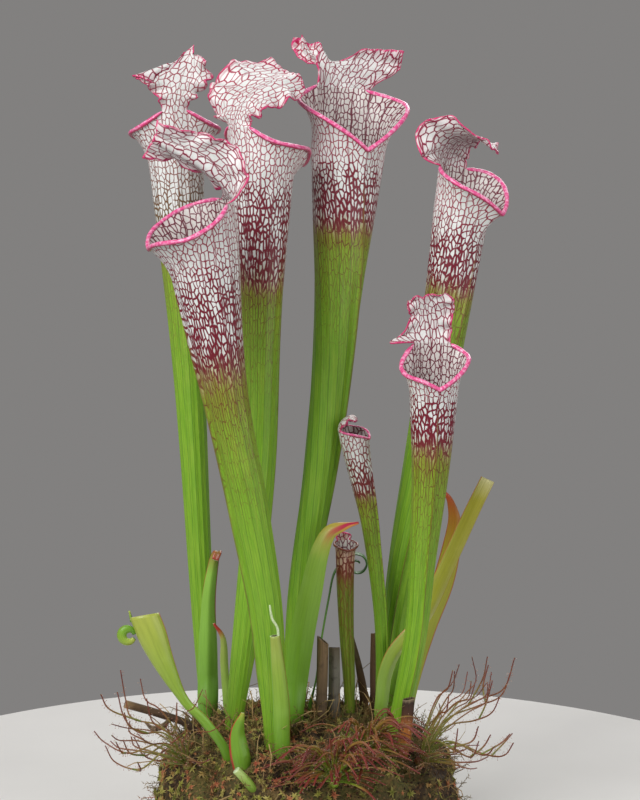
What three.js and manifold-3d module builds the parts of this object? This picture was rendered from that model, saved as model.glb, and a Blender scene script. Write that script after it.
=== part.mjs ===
// A white-topped pitcher plant growing in a mound of moss and peat.
// Millimetres, +Z up, X to the right and Y away from the viewer. The origin is the middle of the
// mound's flat underside. Every leaf is one piece. The pitchers are rolled leaves: hollow, with
// an oblique mouth, a thick rolled lip, and a lid that grows from a narrow neck at the back.

import * as THREE from 'three';
import { mergeVertices } from 'three/addons/utils/BufferGeometryUtils.js';
import Module from 'manifold-3d';

const wasm = await Module();
wasm.setup();
const { Manifold, Mesh } = wasm;

// Driving dimensions

const GAP = 0.3; // clearance between pieces that touch
const WALL = 1.05; // a pitcher's wall, and its lid's thickness
const LIP = 0.9; // how far the rolled lip stands out from the wall
const WING = 0.7; // half the thickness of the seam that runs down a pitcher's front
const FOOT = 50; // length of a pitcher that stands below the moss
const ROWS = [0, 0.24, 0.47, 0.66, 0.8, 0.89, 0.952, 1]; // shares of the way from foot to lip
const SMALL_ROWS = [0, 0.35, 0.65, 0.85, 0.95, 1]; // the same for the two small pitchers
const FRONT = 11; // columns of a large pitcher between the two ends of its neck
const NECK = 6; // columns across its neck and lid
const LID_ROWS = 10; // rows of a large lid
const LOOP_ROWS = 15; // rows of the thin curled leaf
const SOCKET_SIDES = 12; // sides of the hole that a pitcher stands in
const SEAT = 0.35; // clearance round a leaf's foot in its hole
const COLLAR = 1.1; // the same at the moss's surface, where the leaf swells
const SLIVER = 0.08; // edges shorter than this are closed up after a cut or a join

// The rolled leaf's rule
const LIP_DROP = 0.5; // how far under the rim the lip is widest
const LIP_RISE = 0.9; // how far the lip's crest stands above the rim
const FLARE_POWER = 2.2; // how suddenly the mouth flares
const WING_ENDS = { start: 0.12, stop: 0.94, fade: 0.16 }; // where the front seam grows and fades
const NECK_BLEND = 0.12; // share of the lid over which it turns from the neck's way to its own
const WAVE_START = 0.15; // share of the lid over which its waves grow
const WAVE_EDGE = 2.5; // power by which the waves keep to the edge
const SECOND_WAVE = { size: 0.4, rate: 1.7, shift: 2.1, start: 1 };
const LEFT_PHASE = 1.3; // how far the left edge's waves run ahead
const NOTCH_POWER = 0.7; // how wide the lid's notches are
const NO_FOLD = [0, 0, 0, 0];
const SMALLEST_ROLL = 1e-5;

// Flat leaves and round stems
const BLADE_THICK = { most: 1.3, least: 0.7, growth: 0.2 };
const BLADE_FLAT = [0.9, 1.5]; // shares of the foot's length between which the round foot turns flat
const BLADE_FOOT = { wide: 0.95, deep: 0.7, least: 1.2 };
const BULGE_WIDTH = 4; // a blade narrower than this bulges less
const COLLAR_RISE = { pitcher: 12, blade: 8, stem: 6 }; // how far above the foot the collar is measured
const FLOOR_ROUND = 2; // rings nearer than this to a stump's floor are left out
const FLOOR_INSET = 0.3; // how much narrower a stump is at its floor

// Each pitcher: its axis from the root to the lip's low side, its radius at even steps along it,
// the way its mouth faces (degrees), half the neck's width (radians), the mouth's slant, how the
// lip climbs and flares from front to back, the lid's midrib (forward, sideways, up from the neck),
// the half widths of the lid, how it rolls and folds, how its tip is notched, and how its edge waves.
const PITCHERS = {
  pitcher_back_left: {
    axis: [[-70, 44, 48], [-77.5, 50, 190], [-83, 55, 300], [-89, 58, 400], [-93, 60, 490]],
    radius: [5.3, 8, 10, 13, 20.5], facing: 95, twist: 0, wing: 2,
    neck: 0.42, mouth: 30, tilt: 0, rim: [0, 0.3, 0.5, 0.65, 1], flare: [12, 11, 12, 9, 1],
    flareLength: 26,
    midrib: [[0, 0, 0], [-1, -2, 11], [0, -6, 22], [2, -11, 34], [4, -16, 46]],
    left: [13, 25, 31, 13], right: [12, 17, 18, 6], curlLeft: [0.2, -0.2, -0.2, 0],
    curlRight: [0.2, -0.2, -0.2, 0],
    slantLeft: [0, -4, -12, -24, -36], slantRight: [0, 0, 0, -3, -6], notchLeft: 8,
    notchRight: 5, ruffle: 3, waves: 3,
  },
  pitcher_second: {
    axis: [[-56, -9, 48], [-41, -7, 180], [-32.5, -4, 275], [-31, -2, 375], [-30, 0, 484]],
    radius: [5.3, 7.9, 9.7, 13.5, 22.5], facing: 38, twist: -0.5, wing: 2.5,
    neck: 0.55, mouth: 26, tilt: 0, rim: [0, 0.4, 0.5, 0.65, 1], flare: [14, 10, 8, 5, 1],
    flareLength: 22,
    midrib: [[0, 0, 0], [3, 0, 11], [14, 0, 22], [33, 0, 31], [54, 0, 37]],
    left: [25, 35, 37, 31], right: [15, 20, 21, 18], curlLeft: [0, -0.4, -0.6, -0.5],
    curlRight: [0.4, 0.3, 0.3, 0.4],
    slantLeft: [0, -3, -6, -5, 0], slantRight: [0, -3, -6, -6, -6], foldRight: [0.1, 0.3, 0.5, 0.7],
    ruffle: 3.5, waves: 3.5,
  },
  pitcher_centre: {
    axis: [[-12, 4, 48], [-6, 9, 165], [9.5, 20, 270], [21, 34, 370], [30, 45, 492]],
    radius: [5.3, 7.8, 10.8, 16, 26.5], facing: -66, twist: 2.4, wing: 2.5,
    neck: 0.75, mouth: 46, tilt: 4.5, rim: [0, 0.31, 0.62, 0.82, 1], flare: [6, 9, 14, 12, 1],
    flareLength: 30,
    midrib: [[0, 0, 0], [0, 3, 8], [0, 8, 15], [0, 12, 22], [2, 16, 29]],
    left: [20, 25, 33, 27], right: [22, 30, 39, 46], curlLeft: [0.1, 0.1, 0.2, 0.2],
    curlRight: [0, -0.4, -0.6, -0.7],
    slantLeft: [0, 0, 6, 13, 18], slantRight: [0, 0, 0, -8, -22], notchLeft: -5,
    notchRight: 24, ruffle: 2.5, waves: 3,
  },
  pitcher_front_left: {
    axis: [[-20, -48, 48], [-24.5, -55, 165], [-36.5, -64, 250], [-52.5, -72, 335], [-69, -80, 438]],
    radius: [6, 9.3, 12.4, 14.8, 25.5], facing: 190, twist: 0.3, wing: 2.5,
    neck: 0.75, mouth: 22, tilt: -6, rim: [0, 0.3, 0.5, 0.75, 1], flare: [9, 10, 8, 6, 1],
    flareLength: 26,
    midrib: [[0, 0, 0], [8, 0, 13], [20, 0, 26], [33, 0, 37], [46, 0, 47]],
    left: [24, 25, 18, 13], right: [9, 7, 9, 14], curlLeft: [0.1, -0.1, -0.2, -0.3],
    curlRight: [0.6, 0.6, 0.6, 0.6],
    slantLeft: [0, -6, -8, -4, 4], slantRight: [0, -8, -12, -6, 0],
    foldLeft: [-0.9, -1.25, -1.3, -1.1], foldRight: [0.1, 0.2, 0.5, 0.9], ruffle: 2.5, waves: 3.5,
  },
  pitcher_right: {
    axis: [[55, 39, 48], [69, 41, 180], [85, 43, 275], [98, 44, 360], [111, 45, 452]],
    radius: [5.3, 10, 13, 15.5, 20], facing: -35, twist: -1.6, wing: 2.5,
    neck: 0.95, mouth: 27, tilt: 4, rim: [0, 0.4, 0.7, 0.9, 1], flare: [14, 11, 9, 6, 1], flareLength: 24,
    midrib: [[0, 0, 0], [3, 0, 12], [12, 0, 21], [27, 0, 23], [42, 0, 17]],
    left: [20, 18, 12, 7], right: [28, 32, 22, 7], curlLeft: [0.5, 0.4, 0.4, 0.8],
    curlRight: [0, -0.6, -0.8, -0.7],
    slantLeft: [0, 0, 0, 0, 0], slantRight: [0, -8, -12, -6, 0], ruffle: 2.5, waves: 4,
  },
  pitcher_front_right: {
    axis: [[56, -14, 48], [76, -21, 150], [81.5, -27, 215], [86, -32, 275], [88, -35, 336]],
    radius: [5.2, 7.3, 8.4, 12, 17], facing: -82, twist: 0.3, wing: 2.5,
    neck: 0.8, mouth: 26, tilt: 5, rim: [0, 0.26, 0.46, 0.66, 1], flare: [4, 5, 6, 6, 1], flareLength: 22,
    midrib: [[0, 0, 0], [-1, -1, 9], [-1, -3, 18], [0, -5, 25], [2, -7, 31]],
    left: [15, 19, 19, 9], right: [30, 12, 12, 9], curlLeft: [0.4, 0.1, -0.2, -0.3],
    curlRight: [0.4, 0.1, -0.2, -0.3],
    slantLeft: [0, 0, 0, 0, 0], slantRight: [0, -5, 0, 0, 0], notchLeft: -2,
    notchRight: -3, ruffle: 2.5, waves: 3,
  },
  pitcher_young: {
    axis: [[52, 15, 50], [53.7, 14, 145], [46.5, 12, 220], [39.5, 10, 262], [34.3, 9, 290]],
    radius: [3.4, 3.7, 4.2, 5.9, 10.2], facing: -20, twist: 0, wing: 1.2, rows: SMALL_ROWS, front: 7,
    across: 4, lidRows: 6,
    neck: 0.8, mouth: 10, tilt: 0, rim: [0, 0.3, 0.6, 0.8, 1], flare: [1, 1, 1, 0.5, 0], flareLength: 12,
    midrib: [[0, 0, 0], [2, 0, 4], [6, 0, 7], [11, 0, 8], [15, 0, 4]],
    left: [9, 10, 8, 3], right: [10, 11, 8, 3], curlLeft: [0.9, 0.8, 0.7, 0.6],
    curlRight: [0.9, 0.8, 0.7, 0.6],
    slantLeft: [0, 0, 0, 0, 0], slantRight: [0, 0, 0, 0, 0], ruffle: 1, waves: 2,
  },
  pitcher_seedling: {
    axis: [[32, 10, 50], [31, 10, 110], [29, 10, 150], [28, 10, 185], [28, 10, 212]],
    radius: [2.6, 3.6, 4.6, 5.6, 7], facing: -75, twist: 0, wing: 0.8, rows: SMALL_ROWS, front: 7,
    across: 4, lidRows: 4,
    neck: 0.8, mouth: 5, tilt: 0, rim: [0, 0.3, 0.6, 0.8, 1], flare: [2, 2, 2, 1, 0], flareLength: 8,
    midrib: [[0, 0, 0], [0, 0, 1.5], [0.5, 0, 3], [1, 0, 4.5], [1.5, 0, 6]],
    left: [6, 6, 5, 2], right: [6, 6, 5, 2], curlLeft: [0.8, 0.6, 0.5, 0.5],
    curlRight: [0.8, 0.6, 0.5, 0.5],
    slantLeft: [0, 0, 0, 0, 0], slantRight: [0, 0, 0, 0, 0], ruffle: 0.4, waves: 1,
  },
};

// Flat and folded leaves: path from the root to the tip, half width at even steps, fold of the two
// halves toward the front (degrees), the way the width runs (degrees), thickness, foot in the moss.
const BLADES = {
  leaf_hooded: {
    path: [
      [-9, -15, 56], [-8, -14, 108], [-3, -15, 152], [4, -16, 188],
      [9.5, -16, 213], [16, -14, 227.5], [26, -12.5, 232.5], [37, -10, 234.5],
    ],
    width: [4, 5.5, 6.8, 7.8, 8.6, 9, 8.9, 8.6, 8, 7.2, 6.2, 4.4, 0.9],
    fold: [0, 10, 16, 16, 10, 10, 14, 10], across: 0, bulge: 2.6, foot: 44, rows: 13,
  },
  leaf_keeled: {
    path: [
      [-72, 19, 58], [-71, 20, 95], [-71, 20, 128], [-70, 22, 172],
      [-66, 22, 200], [-63, 20, 207], [-65, 17, 202],
    ],
    width: [4, 7, 8.5, 8, 6, 4.6, 2.5], fold: [0, 28, 34, 34, 30, 26, 20], across: 0, bulge: 1,
    foot: 40, rows: 10,
  },
  leaf_red_tip: {
    path: [[-55, 12, 62], [-57, 12, 101], [-58.5, 12, 126], [-59.5, 12, 146], [-66, 12, 157]],
    width: [2.4, 3, 3, 2.8, 0.8], fold: [0, 20, 24, 20, 10], across: 10, bulge: 0.7, foot: 36, rows: 7,
  },
  leaf_short_red: {
    path: [[-39, -72, 50], [-43, -73, 76], [-46, -75, 100], [-42.5, -76, 116]],
    width: [4.5, 6.4, 7.2, 7.2, 5, 1.2], fold: [0, 20, 26, 30, 26, 10], across: 8, bulge: 0.8, foot: 36, rows: 7,
  },
  leaf_folded_yellow: {
    path: [
      [50, 5, 54], [54, 4, 100], [62, 4, 133], [84, 5, 160],
      [101, 7, 197.6], [119, 10, 238], [130, 12, 261],
    ],
    width: [4, 5, 6.5, 7.5, 7.5, 7, 6.3], fold: [0, 20, 30, 36, 34, 30, 26], across: 20, bulge: 0.8,
    foot: 44, rows: 10,
  },
  leaf_sickle: {
    path: [
      [70, 26, 52], [74.5, 26, 103], [85, 29, 146], [99.5, 30, 185],
      [106.5, 30, 222], [104, 30, 241], [98.7, 30, 250],
    ],
    width: [3.6, 5, 7, 8.6, 8.2, 6, 1], fold: [0, 12, 16, 20, 20, 16, 10], across: 0, bulge: 0.8,
    foot: 44, rows: 10,
  },
  stub_grey: {
    path: [[20, 4.5, 58], [20, 4.5, 95], [20, 4.5, 118], [20, 4.5, 141]],
    width: [3, 4.4, 4.6, 4.2], fold: [0, 20, 26, 24], across: -8, bulge: 0.8, foot: 40, rows: 5,
  },
  stub_spike: {
    path: [[44, 27, 60], [42, 27, 97], [38, 27, 122], [33, 26, 146]],
    width: [3, 3.6, 2.6, 0.8], fold: [0, 10, 14, 10], across: 0, bulge: 0.8, foot: 40, rows: 6,
  },
  stub_dark: {
    path: [[48, 30, 60], [49, 30, 95], [49, 30, 120], [49, 31, 145]],
    width: [2.6, 3, 2.8, 2.2], fold: [0, 16, 20, 20], across: 15, bulge: 0.9, foot: 40, rows: 5,
  },
};

// Round, open-topped stumps: a cut pitcher, a cut tube and two hollow dead stubs.
const STUMPS = {
  pitcher_cut: {
    path: [
      [-42, -56, 48], [-55, -59, 84], [-69, -61, 105.5],
      [-83, -62, 121], [-97, -62, 148], [-109.8, -60, 180],
    ],
    radius: [3.2, 3.2, 3.2, 3.3, 3.4, 3.2, 3.7, 5.9, 8.1, 10, 10.1], squash: 0.72, facing: -90,
    wall: 1, floor: 0.6, sides: 14, rows: 9, foot: 42, cut: -1.9, nod: 1.3,
  },
  leaf_cut_tube: {
    path: [[-14, -63, 50], [-16, -68, 95], [-16.5, -70, 122], [-19, -71, 151], [-20.7, -72, 168.7]],
    radius: [3.8, 5, 5.8, 5, 3.4], squash: 0.7, facing: -90, wall: 0.9, floor: 0.8, sides: 10,
    rows: 6, foot: 44, cut: 0,
  },
  stub_hollow_brown: {
    path: [[11, -5, 58], [11, -5, 95], [11.5, -5, 120], [12, -5, 149]],
    radius: [3, 3.8, 4, 4.1], squash: 0.8, facing: -90, wall: 0.9, floor: 0.7, sides: 9, rows: 5,
    foot: 40, cut: -3,
  },
  stub_holed: {
    path: [[66, -33, 58], [69, -33, 84], [70.5, -33, 96], [72, -33, 114]],
    radius: [3.6, 5.2, 4.4, 4.2], squash: 0.9, facing: -90, wall: 1, floor: 0.72, sides: 10, rows: 6,
    foot: 32, cut: 1,
  },
};

// Solid round stems: path, radius at even steps, and the length that stands in the moss.
const STEMS = {
  stub_pale: {
    path: [[-29, -84, 56], [-35, -88, 66], [-41, -91, 74.5], [-46.5, -93, 81]],
    radius: [3, 3.2, 3.1, 2.7], sides: 10, rows: 5, foot: 18,
  },
  stem_lying: {
    path: [[-66, -6, 73], [-83, -8, 88], [-104, -11, 97], [-128, -14, 105]],
    radius: [2.2, 2.6, 2.8, 2.9], sides: 8, rows: 6, foot: 26,
  },
};

// The ring of green leaf beside the cut pitcher's rim, its spike, and the strand on the cut tube.
const RING = {
  centre: [-121, -60, 166], radius: 4.5, width: 1.2, thick: 1.5, swell: 2.1, start: 12, sweep: 320,
  steps: 10, sides: 5,
};
const SPIKE = [[-118.6, -60, 175.5], [-119.2, -60, 179], [-120.2, -60, 183.2]];
const STRAND = [[-18.2, -72, 166], [-18.8, -72, 174], [-22.5, -72, 181], [-24, -72, 190]];
const DRY_CURL = [[-96, -11, 95], [-100, -16, 90], [-108, -17, 88], [-114, -14, 92]];

// The loop that ends the thin green leaf: it winds inward around a centre behind the seedling.
const LOOP = {
  path: [[2, 0, 56], [2, 0, 93], [7, 5, 117], [11, 12, 145], [16, 20, 172], [20, 26, 190]],
  centre: [36.5, 29, 196], from: 165, turns: 1.35, radius: [9.5, 2.6], steps: 9, bulge: 0.1,
  width: [2.2, 2.6, 2.4, 2.2, 2.2, 2.6, 3.4, 4.2, 4.4, 4.2, 4, 3.4, 2.4], foot: 42,
};

const MOUND = {
  centre: [-3, 0],
  profile: [
    [97, 0, 0], [104, 0, 12], [107, 0, 32], [103, 0, 52], [92, 0, 68],
    [74, 0, 80], [52, 0, 87], [28, 0, 91], [0, 0, 92],
  ],
  sectors: 30, rings: 9,
  lobes: [[0.028, 3, 0.6], [0.018, 5, 2]], // size, number round the mound and start of each
  bumps: [[2.2, 6, 13, 0], [1.8, 11, -17, 1], [1.4, 15, 29, 0]], // the same, and the turn with height
  calm: 26, // the bumps fade out within this distance from the peak
  start: 7, // how quickly they grow above the underside
  lean: 0.5, // share of a bump that goes outward
};

const RHIZOME = {
  radius: 9.8, joint: 7.5, sides: 6,
  lines: [
    [[-71, 44, 43], [-56, -9, 43], [-12, 4, 43], [32, 10, 44], [51, 15, 44], [55, 39, 43]],
    [[-56, -9, 43], [-20, -48, 43]],
    [[32, 10, 44], [56, -14, 43]],
  ],
};

// Sundews in the same moss: where each clump grows (share up the mound, bearing), the fan of its
// arms, how far they reach and rise, and whether they fork.
const SUNDEWS = {
  sundew_left: {
    up: 0.5, bearing: 212, arms: 6, fan: [150, 250],
    reach: [42, 68], rise: [6, 66], fork: true, seed: 5,
  },
  sundew_right: {
    up: 0.5, bearing: 336, arms: 7, fan: [-48, 34],
    reach: [40, 74], rise: [4, 70], fork: true, seed: 12,
  },
  sundew_front: {
    up: 0.52, bearing: 284, arms: 8, fan: [205, 335],
    reach: [26, 44], rise: [8, 26], fork: false, seed: 21,
  },
  sundew_centre: {
    up: 0.62, bearing: 308, arms: 8, fan: [236, 352],
    reach: [28, 46], rise: [14, 30], fork: false, seed: 33,
  },
};
const CROWN = 4.6; // radius of a sundew's crown
const CROWN_SIDES = 8;
const CROWN_LIFT = 1.2; // how far the crown's middle stands above the moss
const CROWN_ROOM = GAP + 0.15; // clearance round the crown, whose facets lie inside its radius
const ARM = [1.15, 0.85]; // circumradius of a three-sided arm at its root and tip
const LEAF_TIP = 0.95; // the same at the tip of an arm that doesn't fork
const SPREAD = [0.2, 0.6]; // where in its share of the fan an arm stands
const SWAY = 0.25; // how far an arm may bend sideways (radians)
const STALK = { share: 0.3, rise: 0.3, lift: 12 }; // the bend near an arm's root
const FORK = { share: 0.66, rise: 0.72, angle: 0.24 };
const PRONG = [
  { share: 0.86, rise: 0.86, lift: 3 },
  { share: 0.96, rise: 1.05, lift: 16, spread: 1.15, least: 0.4 },
];
const KNEE = { share: 0.5, rise: 0.75, lift: 6 }; // the bend of an arm that doesn't fork

// Shared geometry

const radians = THREE.MathUtils.degToRad;
const vec = (p) => new THREE.Vector3(p[0], p[1], p[2]);

// A smooth value at t (0 to 1) through evenly spaced numbers or points.
function along(values, t) {
  const last = values.length - 1;
  const x = THREE.MathUtils.clamp(t, 0, 1) * last;
  const i = Math.min(Math.floor(x), last - 1);
  const f = x - i;
  const smooth = (read) => {
    const b = read(values[i]);
    const c = read(values[i + 1]);
    const a = i > 0 ? read(values[i - 1]) : 2 * b - c;
    const d = i + 2 <= last ? read(values[i + 2]) : 2 * c - b;
    const bend = 2 * a - 5 * b + 4 * c - d;
    const twist = 3 * b - a - 3 * c + d;
    return 0.5 * (2 * b + (c - a) * f + bend * f ** 2 + twist * f ** 3);
  };
  if (typeof values[0] === 'number') return smooth((v) => v);
  return new THREE.Vector3(...[0, 1, 2].map((k) => smooth((v) => v[k])));
}

// A curve through points, read by its length.
class Path {
  constructor(points) {
    this.points = points;
    this.steps = 160;
    this.lengths = [0];
    let before = along(points, 0);
    for (let k = 1; k <= this.steps; k++) {
      const now = along(points, k / this.steps);
      this.lengths.push(this.lengths[k - 1] + now.distanceTo(before));
      before = now;
    }
    this.length = this.lengths[this.steps];
    this.end = along(points, 1);
    this.endWay = this.end.clone().sub(along(points, 0.98)).normalize();
  }
  at(v) {
    if (v >= this.length) return this.end.clone().addScaledVector(this.endWay, v - this.length);
    const w = Math.max(v, 0);
    let k = 1;
    while (this.lengths[k] < w) k++;
    const share = (w - this.lengths[k - 1]) / (this.lengths[k] - this.lengths[k - 1]);
    return along(this.points, (k - 1 + share) / this.steps);
  }
  // The way the path runs, the side that faces the bearing, and the side to the left of that.
  frame(v, bearing) {
    const T = this.at(v + 1).sub(this.at(Math.max(v - 1, 0))).normalize();
    const F = new THREE.Vector3(Math.cos(bearing), Math.sin(bearing), 0);
    F.addScaledVector(T, -F.dot(T)).normalize();
    return { T, F, S: new THREE.Vector3().crossVectors(T, F) };
  }
}

// A closed surface under construction.
class Skin {
  constructor() {
    this.points = [];
    this.faces = [];
  }
  add(p) {
    this.points.push(p.x, p.y, p.z);
    return this.points.length / 3 - 1;
  }
  tri(a, b, c) {
    this.faces.push(a, b, c);
  }
  quad(a, b, c, d) {
    this.tri(a, b, c);
    this.tri(a, c, d);
  }
  solid() {
    return new Manifold(new Mesh({
      numProp: 3,
      vertProperties: new Float32Array(this.points),
      triVerts: new Uint32Array(this.faces),
    }));
  }
}

// A closed solid through rings of points, each ring running left-handed to right-handed round the way.
function loft(rings) {
  const skin = new Skin();
  const ids = rings.map((ring) => ring.map((p) => skin.add(p)));
  const n = rings[0].length;
  for (let i = 0; i + 1 < ids.length; i++)
    for (let j = 0; j < n; j++) {
      const k = (j + 1) % n;
      skin.quad(ids[i][j], ids[i][k], ids[i + 1][k], ids[i + 1][j]);
    }
  const cap = (ring, id, flip) => {
    const middle = ring.reduce((sum, p) => sum.add(p), new THREE.Vector3()).divideScalar(n);
    const m = skin.add(middle);
    for (let j = 0; j < n; j++) {
      const k = (j + 1) % n;
      if (flip) skin.tri(m, id[k], id[j]);
      else skin.tri(m, id[j], id[k]);
    }
  };
  cap(rings[0], ids[0], true);
  cap(rings.at(-1), ids.at(-1), false);
  return skin.solid();
}

// A ring pushed outward from its own middle, and moved along.
function grown(ring, by, shift = new THREE.Vector3()) {
  const middle = ring.reduce((sum, p) => sum.add(p), new THREE.Vector3()).divideScalar(ring.length);
  return ring.map((p) => {
    const out = p.clone().sub(middle);
    return p.clone().addScaledVector(out.normalize(), by).add(shift);
  });
}

// The hole in the moss for a leaf: its two foot rings with clearance, then a wider collar.
function footHole(root, top, collar) {
  const way = middleOf(top).sub(middleOf(root)).normalize();
  const bottom = grown(root, SEAT, way.clone().multiplyScalar(-GAP));
  return loft([bottom, grown(top, SEAT), grown(collar, COLLAR)]);
}

function middleOf(ring) {
  return ring.reduce((sum, p) => sum.add(p), new THREE.Vector3()).divideScalar(ring.length);
}

// A rolled pitcher leaf

function pitcher(p) {
  const path = new Path(p.axis);
  const front = p.front ?? FRONT;
  const across = p.across ?? NECK;
  const lidRows = p.lidRows ?? LID_ROWS;
  const facing = radians(p.facing);

  // Where the lip lies along the axis, seen at angle phi from the front of the mouth.
  const lipAt = (phi) => {
    const q = Math.min(Math.abs(phi) / (Math.PI - p.neck), 1);
    const lean = p.tilt * Math.sin(phi) * (1 - q ** 4) * Math.min(2 * q, 1);
    return path.length + p.mouth * along(p.rim, q) + lean;
  };
  const radiusAt = (v, phi, lip) => {
    const depth = (lip - v) / p.flareLength;
    const q = Math.min(Math.abs(phi) / (Math.PI - p.neck), 1);
    const flare = depth < 1 ? along(p.flare, q) * (1 - depth) ** FLARE_POWER : 0;
    return along(p.radius, v / path.length) + flare;
  };
  const wall = (v, phi, lip, inset, crest = 0) => {
    const { F, S } = path.frame(v, facing + p.twist * Math.max(0, 1 - v / path.length));
    const r = radiusAt(v, phi, lip) - inset;
    const side = Math.atan2(crest * WING, r);
    const rise = crest === 0 && inset === 0 && phi === 0 ? p.wing * wingShape(v) : 0;
    return path.at(v)
      .addScaledVector(F, (r + rise) * Math.cos(phi + side))
      .addScaledVector(S, (r + rise) * Math.sin(phi + side));
  };
  const wingShape = (v) => {
    const t = (v - FOOT) / (path.length - FOOT);
    const { start, stop, fade } = WING_ENDS;
    return THREE.MathUtils.clamp(Math.min(t / start, (stop - t) / fade), 0, 1);
  };

  // Columns run once round, from one end of the neck across the back to the other, then the front.
  const columns = [];
  for (let k = 0; k <= across; k++)
    columns.push({ phi: Math.PI - p.neck + (2 * p.neck * k) / across, crest: 0 });
  for (let k = 1; k <= front; k++) {
    const phi = -Math.PI + p.neck + ((2 * Math.PI - 2 * p.neck) * k) / (front + 1);
    if (k === (front + 1) / 2) for (const crest of [-1, 0, 1]) columns.push({ phi: 0, crest });
    else columns.push({ phi, crest: 0 });
  }
  const turned = (phi) => (phi > Math.PI ? phi - 2 * Math.PI : phi);

  const skin = new Skin();
  const onLip = (j) => j > across;
  const rows = [0, ...(p.rows ?? ROWS)];
  const height = (i, phi) => (i === 0 ? 0 : FOOT + (lipAt(phi) - FOOT) * rows[i]);
  const outerPoints = rows.map((_, i) => columns.map(({ phi, crest }, j) => {
    const lip = lipAt(turned(phi));
    const atLip = i === rows.length - 1 && onLip(j);
    return wall(atLip ? lip - LIP_DROP : height(i, turned(phi)), turned(phi), lip, atLip ? -LIP : 0, crest);
  }));
  const outer = outerPoints.map((row) => row.map((point) => skin.add(point)));
  const inner = rows.map((_, i) => (i === 0 ? null : columns.map(({ phi, crest }) => {
    const lip = lipAt(turned(phi));
    return skin.add(wall(height(i, turned(phi)), turned(phi), lip, WALL, crest));
  })));
  const n = columns.length;
  for (let i = 0; i + 1 < rows.length; i++)
    for (let j = 0; j < n; j++) {
      const k = (j + 1) % n;
      skin.quad(outer[i][j], outer[i][k], outer[i + 1][k], outer[i + 1][j]);
      if (i > 0) skin.quad(inner[i][k], inner[i][j], inner[i + 1][j], inner[i + 1][k]);
    }

  // The closed root and the floor of the hollow.
  const root = skin.add(path.at(0));
  const floor = skin.add(path.at(FOOT));
  for (let j = 0; j < n; j++) {
    const k = (j + 1) % n;
    skin.tri(root, outer[0][k], outer[0][j]);
    skin.tri(floor, inner[1][j], inner[1][k]);
  }

  // The lip: a rounded crest between the outer and the inner wall.
  const top = rows.length - 1;
  const crestRow = columns.map(({ phi, crest }, j) => {
    if (!onLip(j)) return null;
    const lip = lipAt(phi);
    return skin.add(wall(lip + LIP_RISE, phi, lip + LIP_RISE, 0, crest));
  });
  for (let j = across; j < n; j++) {
    const k = (j + 1) % n;
    const [o0, o1, i0, i1] = [outer[top][j], outer[top][k], inner[top][j], inner[top][k]];
    const [c0, c1] = [crestRow[j], crestRow[k]];
    if (c0 === null) {
      skin.tri(o0, o1, c1);
      skin.tri(o0, c1, i0);
      skin.tri(i0, c1, i1);
    } else if (c1 === null) {
      skin.tri(o0, o1, c0);
      skin.tri(c0, o1, i1);
      skin.tri(c0, i1, i0);
    } else {
      skin.quad(o0, o1, c1, c0);
      skin.quad(c0, c1, i1, i0);
    }
  }

  // The lid: a sheet that grows on from the neck along its midrib, its halves rolled about it.
  const neckAt = path.length + p.mouth;
  const back = path.frame(neckAt, facing);
  const neckRadius = radiusAt(neckAt, Math.PI, neckAt);
  const neckPoint = path.at(neckAt).addScaledVector(back.F, -neckRadius);
  const midrib = (w) => {
    const m = along(p.midrib, w);
    return neckPoint.clone()
      .addScaledVector(back.F, m.x)
      .addScaledVector(back.S, m.y)
      .addScaledVector(back.T, m.z);
  };
  const lidPoint = (w, side) => {
    const middle = midrib(w);
    const way = midrib(Math.min(w + 0.01, 1)).sub(midrib(Math.max(w - 0.01, 0))).normalize();
    if (w < NECK_BLEND) way.lerp(back.T, 1 - w / NECK_BLEND).normalize();
    const out = back.S.clone().addScaledVector(way, -back.S.dot(way)).normalize();
    const inward = new THREE.Vector3().crossVectors(out, way);
    const half = along([p.neck * neckRadius, ...(side > 0 ? p.left : p.right)], w);
    let roll = along([1, ...(side > 0 ? p.curlLeft : p.curlRight)], w) / neckRadius;
    if (Math.abs(roll) < SMALLEST_ROLL) roll = SMALLEST_ROLL;
    const turn = roll * side * half;
    const slant = along(side > 0 ? p.slantLeft : p.slantRight, w) * side * side;
    const depth = (side > 0 ? p.notchLeft : p.notchRight) ?? 0;
    const notch = depth * w * w * Math.abs(Math.sin(Math.PI * side)) ** NOTCH_POWER;
    const fold = along([0, ...((side > 0 ? p.foldLeft : p.foldRight) ?? NO_FOLD)], w);
    const phase = side > 0 ? LEFT_PHASE : 0;
    const { size, rate, shift, start } = SECOND_WAVE;
    const wave = Math.sin(2 * Math.PI * p.waves * w + phase)
      + size * Math.sin(2 * Math.PI * rate * p.waves * w + shift * phase + start);
    const ruffle = p.ruffle * Math.min(w / WAVE_START, 1) * Math.abs(side) ** WAVE_EDGE * wave;
    const aside = Math.sin(turn) / roll - ruffle * Math.sin(turn);
    const deep = (1 - Math.cos(turn)) / roll + ruffle * Math.cos(turn);
    const lean = Math.sign(side) * Math.sin(fold);
    return middle
      .addScaledVector(out, aside * Math.cos(fold) - deep * lean)
      .addScaledVector(inward, aside * lean + deep * Math.cos(fold))
      .addScaledVector(way, slant - notch);
  };
  const sheet = [];
  for (let l = 0; l <= lidRows; l++) {
    sheet.push([]);
    for (let k = 0; k <= across; k++)
      sheet[l].push(l ? lidPoint(l / lidRows, 1 - (2 * k) / across) : outerPoints[top][k]);
  }
  const lidOuter = sheet.map((row, l) => row.map((q, k) => (l ? skin.add(q) : outer[top][k])));
  const lidInner = sheet.map((row, l) => row.map((q, k) => {
    if (!l) return inner[top][k];
    const acrossWay = sheet[l][Math.min(k + 1, across)].clone().sub(sheet[l][Math.max(k - 1, 0)]);
    const upWay = sheet[Math.min(l + 1, lidRows)][k].clone().sub(sheet[l - 1][k]);
    return skin.add(q.clone().addScaledVector(acrossWay.cross(upWay).normalize(), -WALL));
  }));
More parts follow.
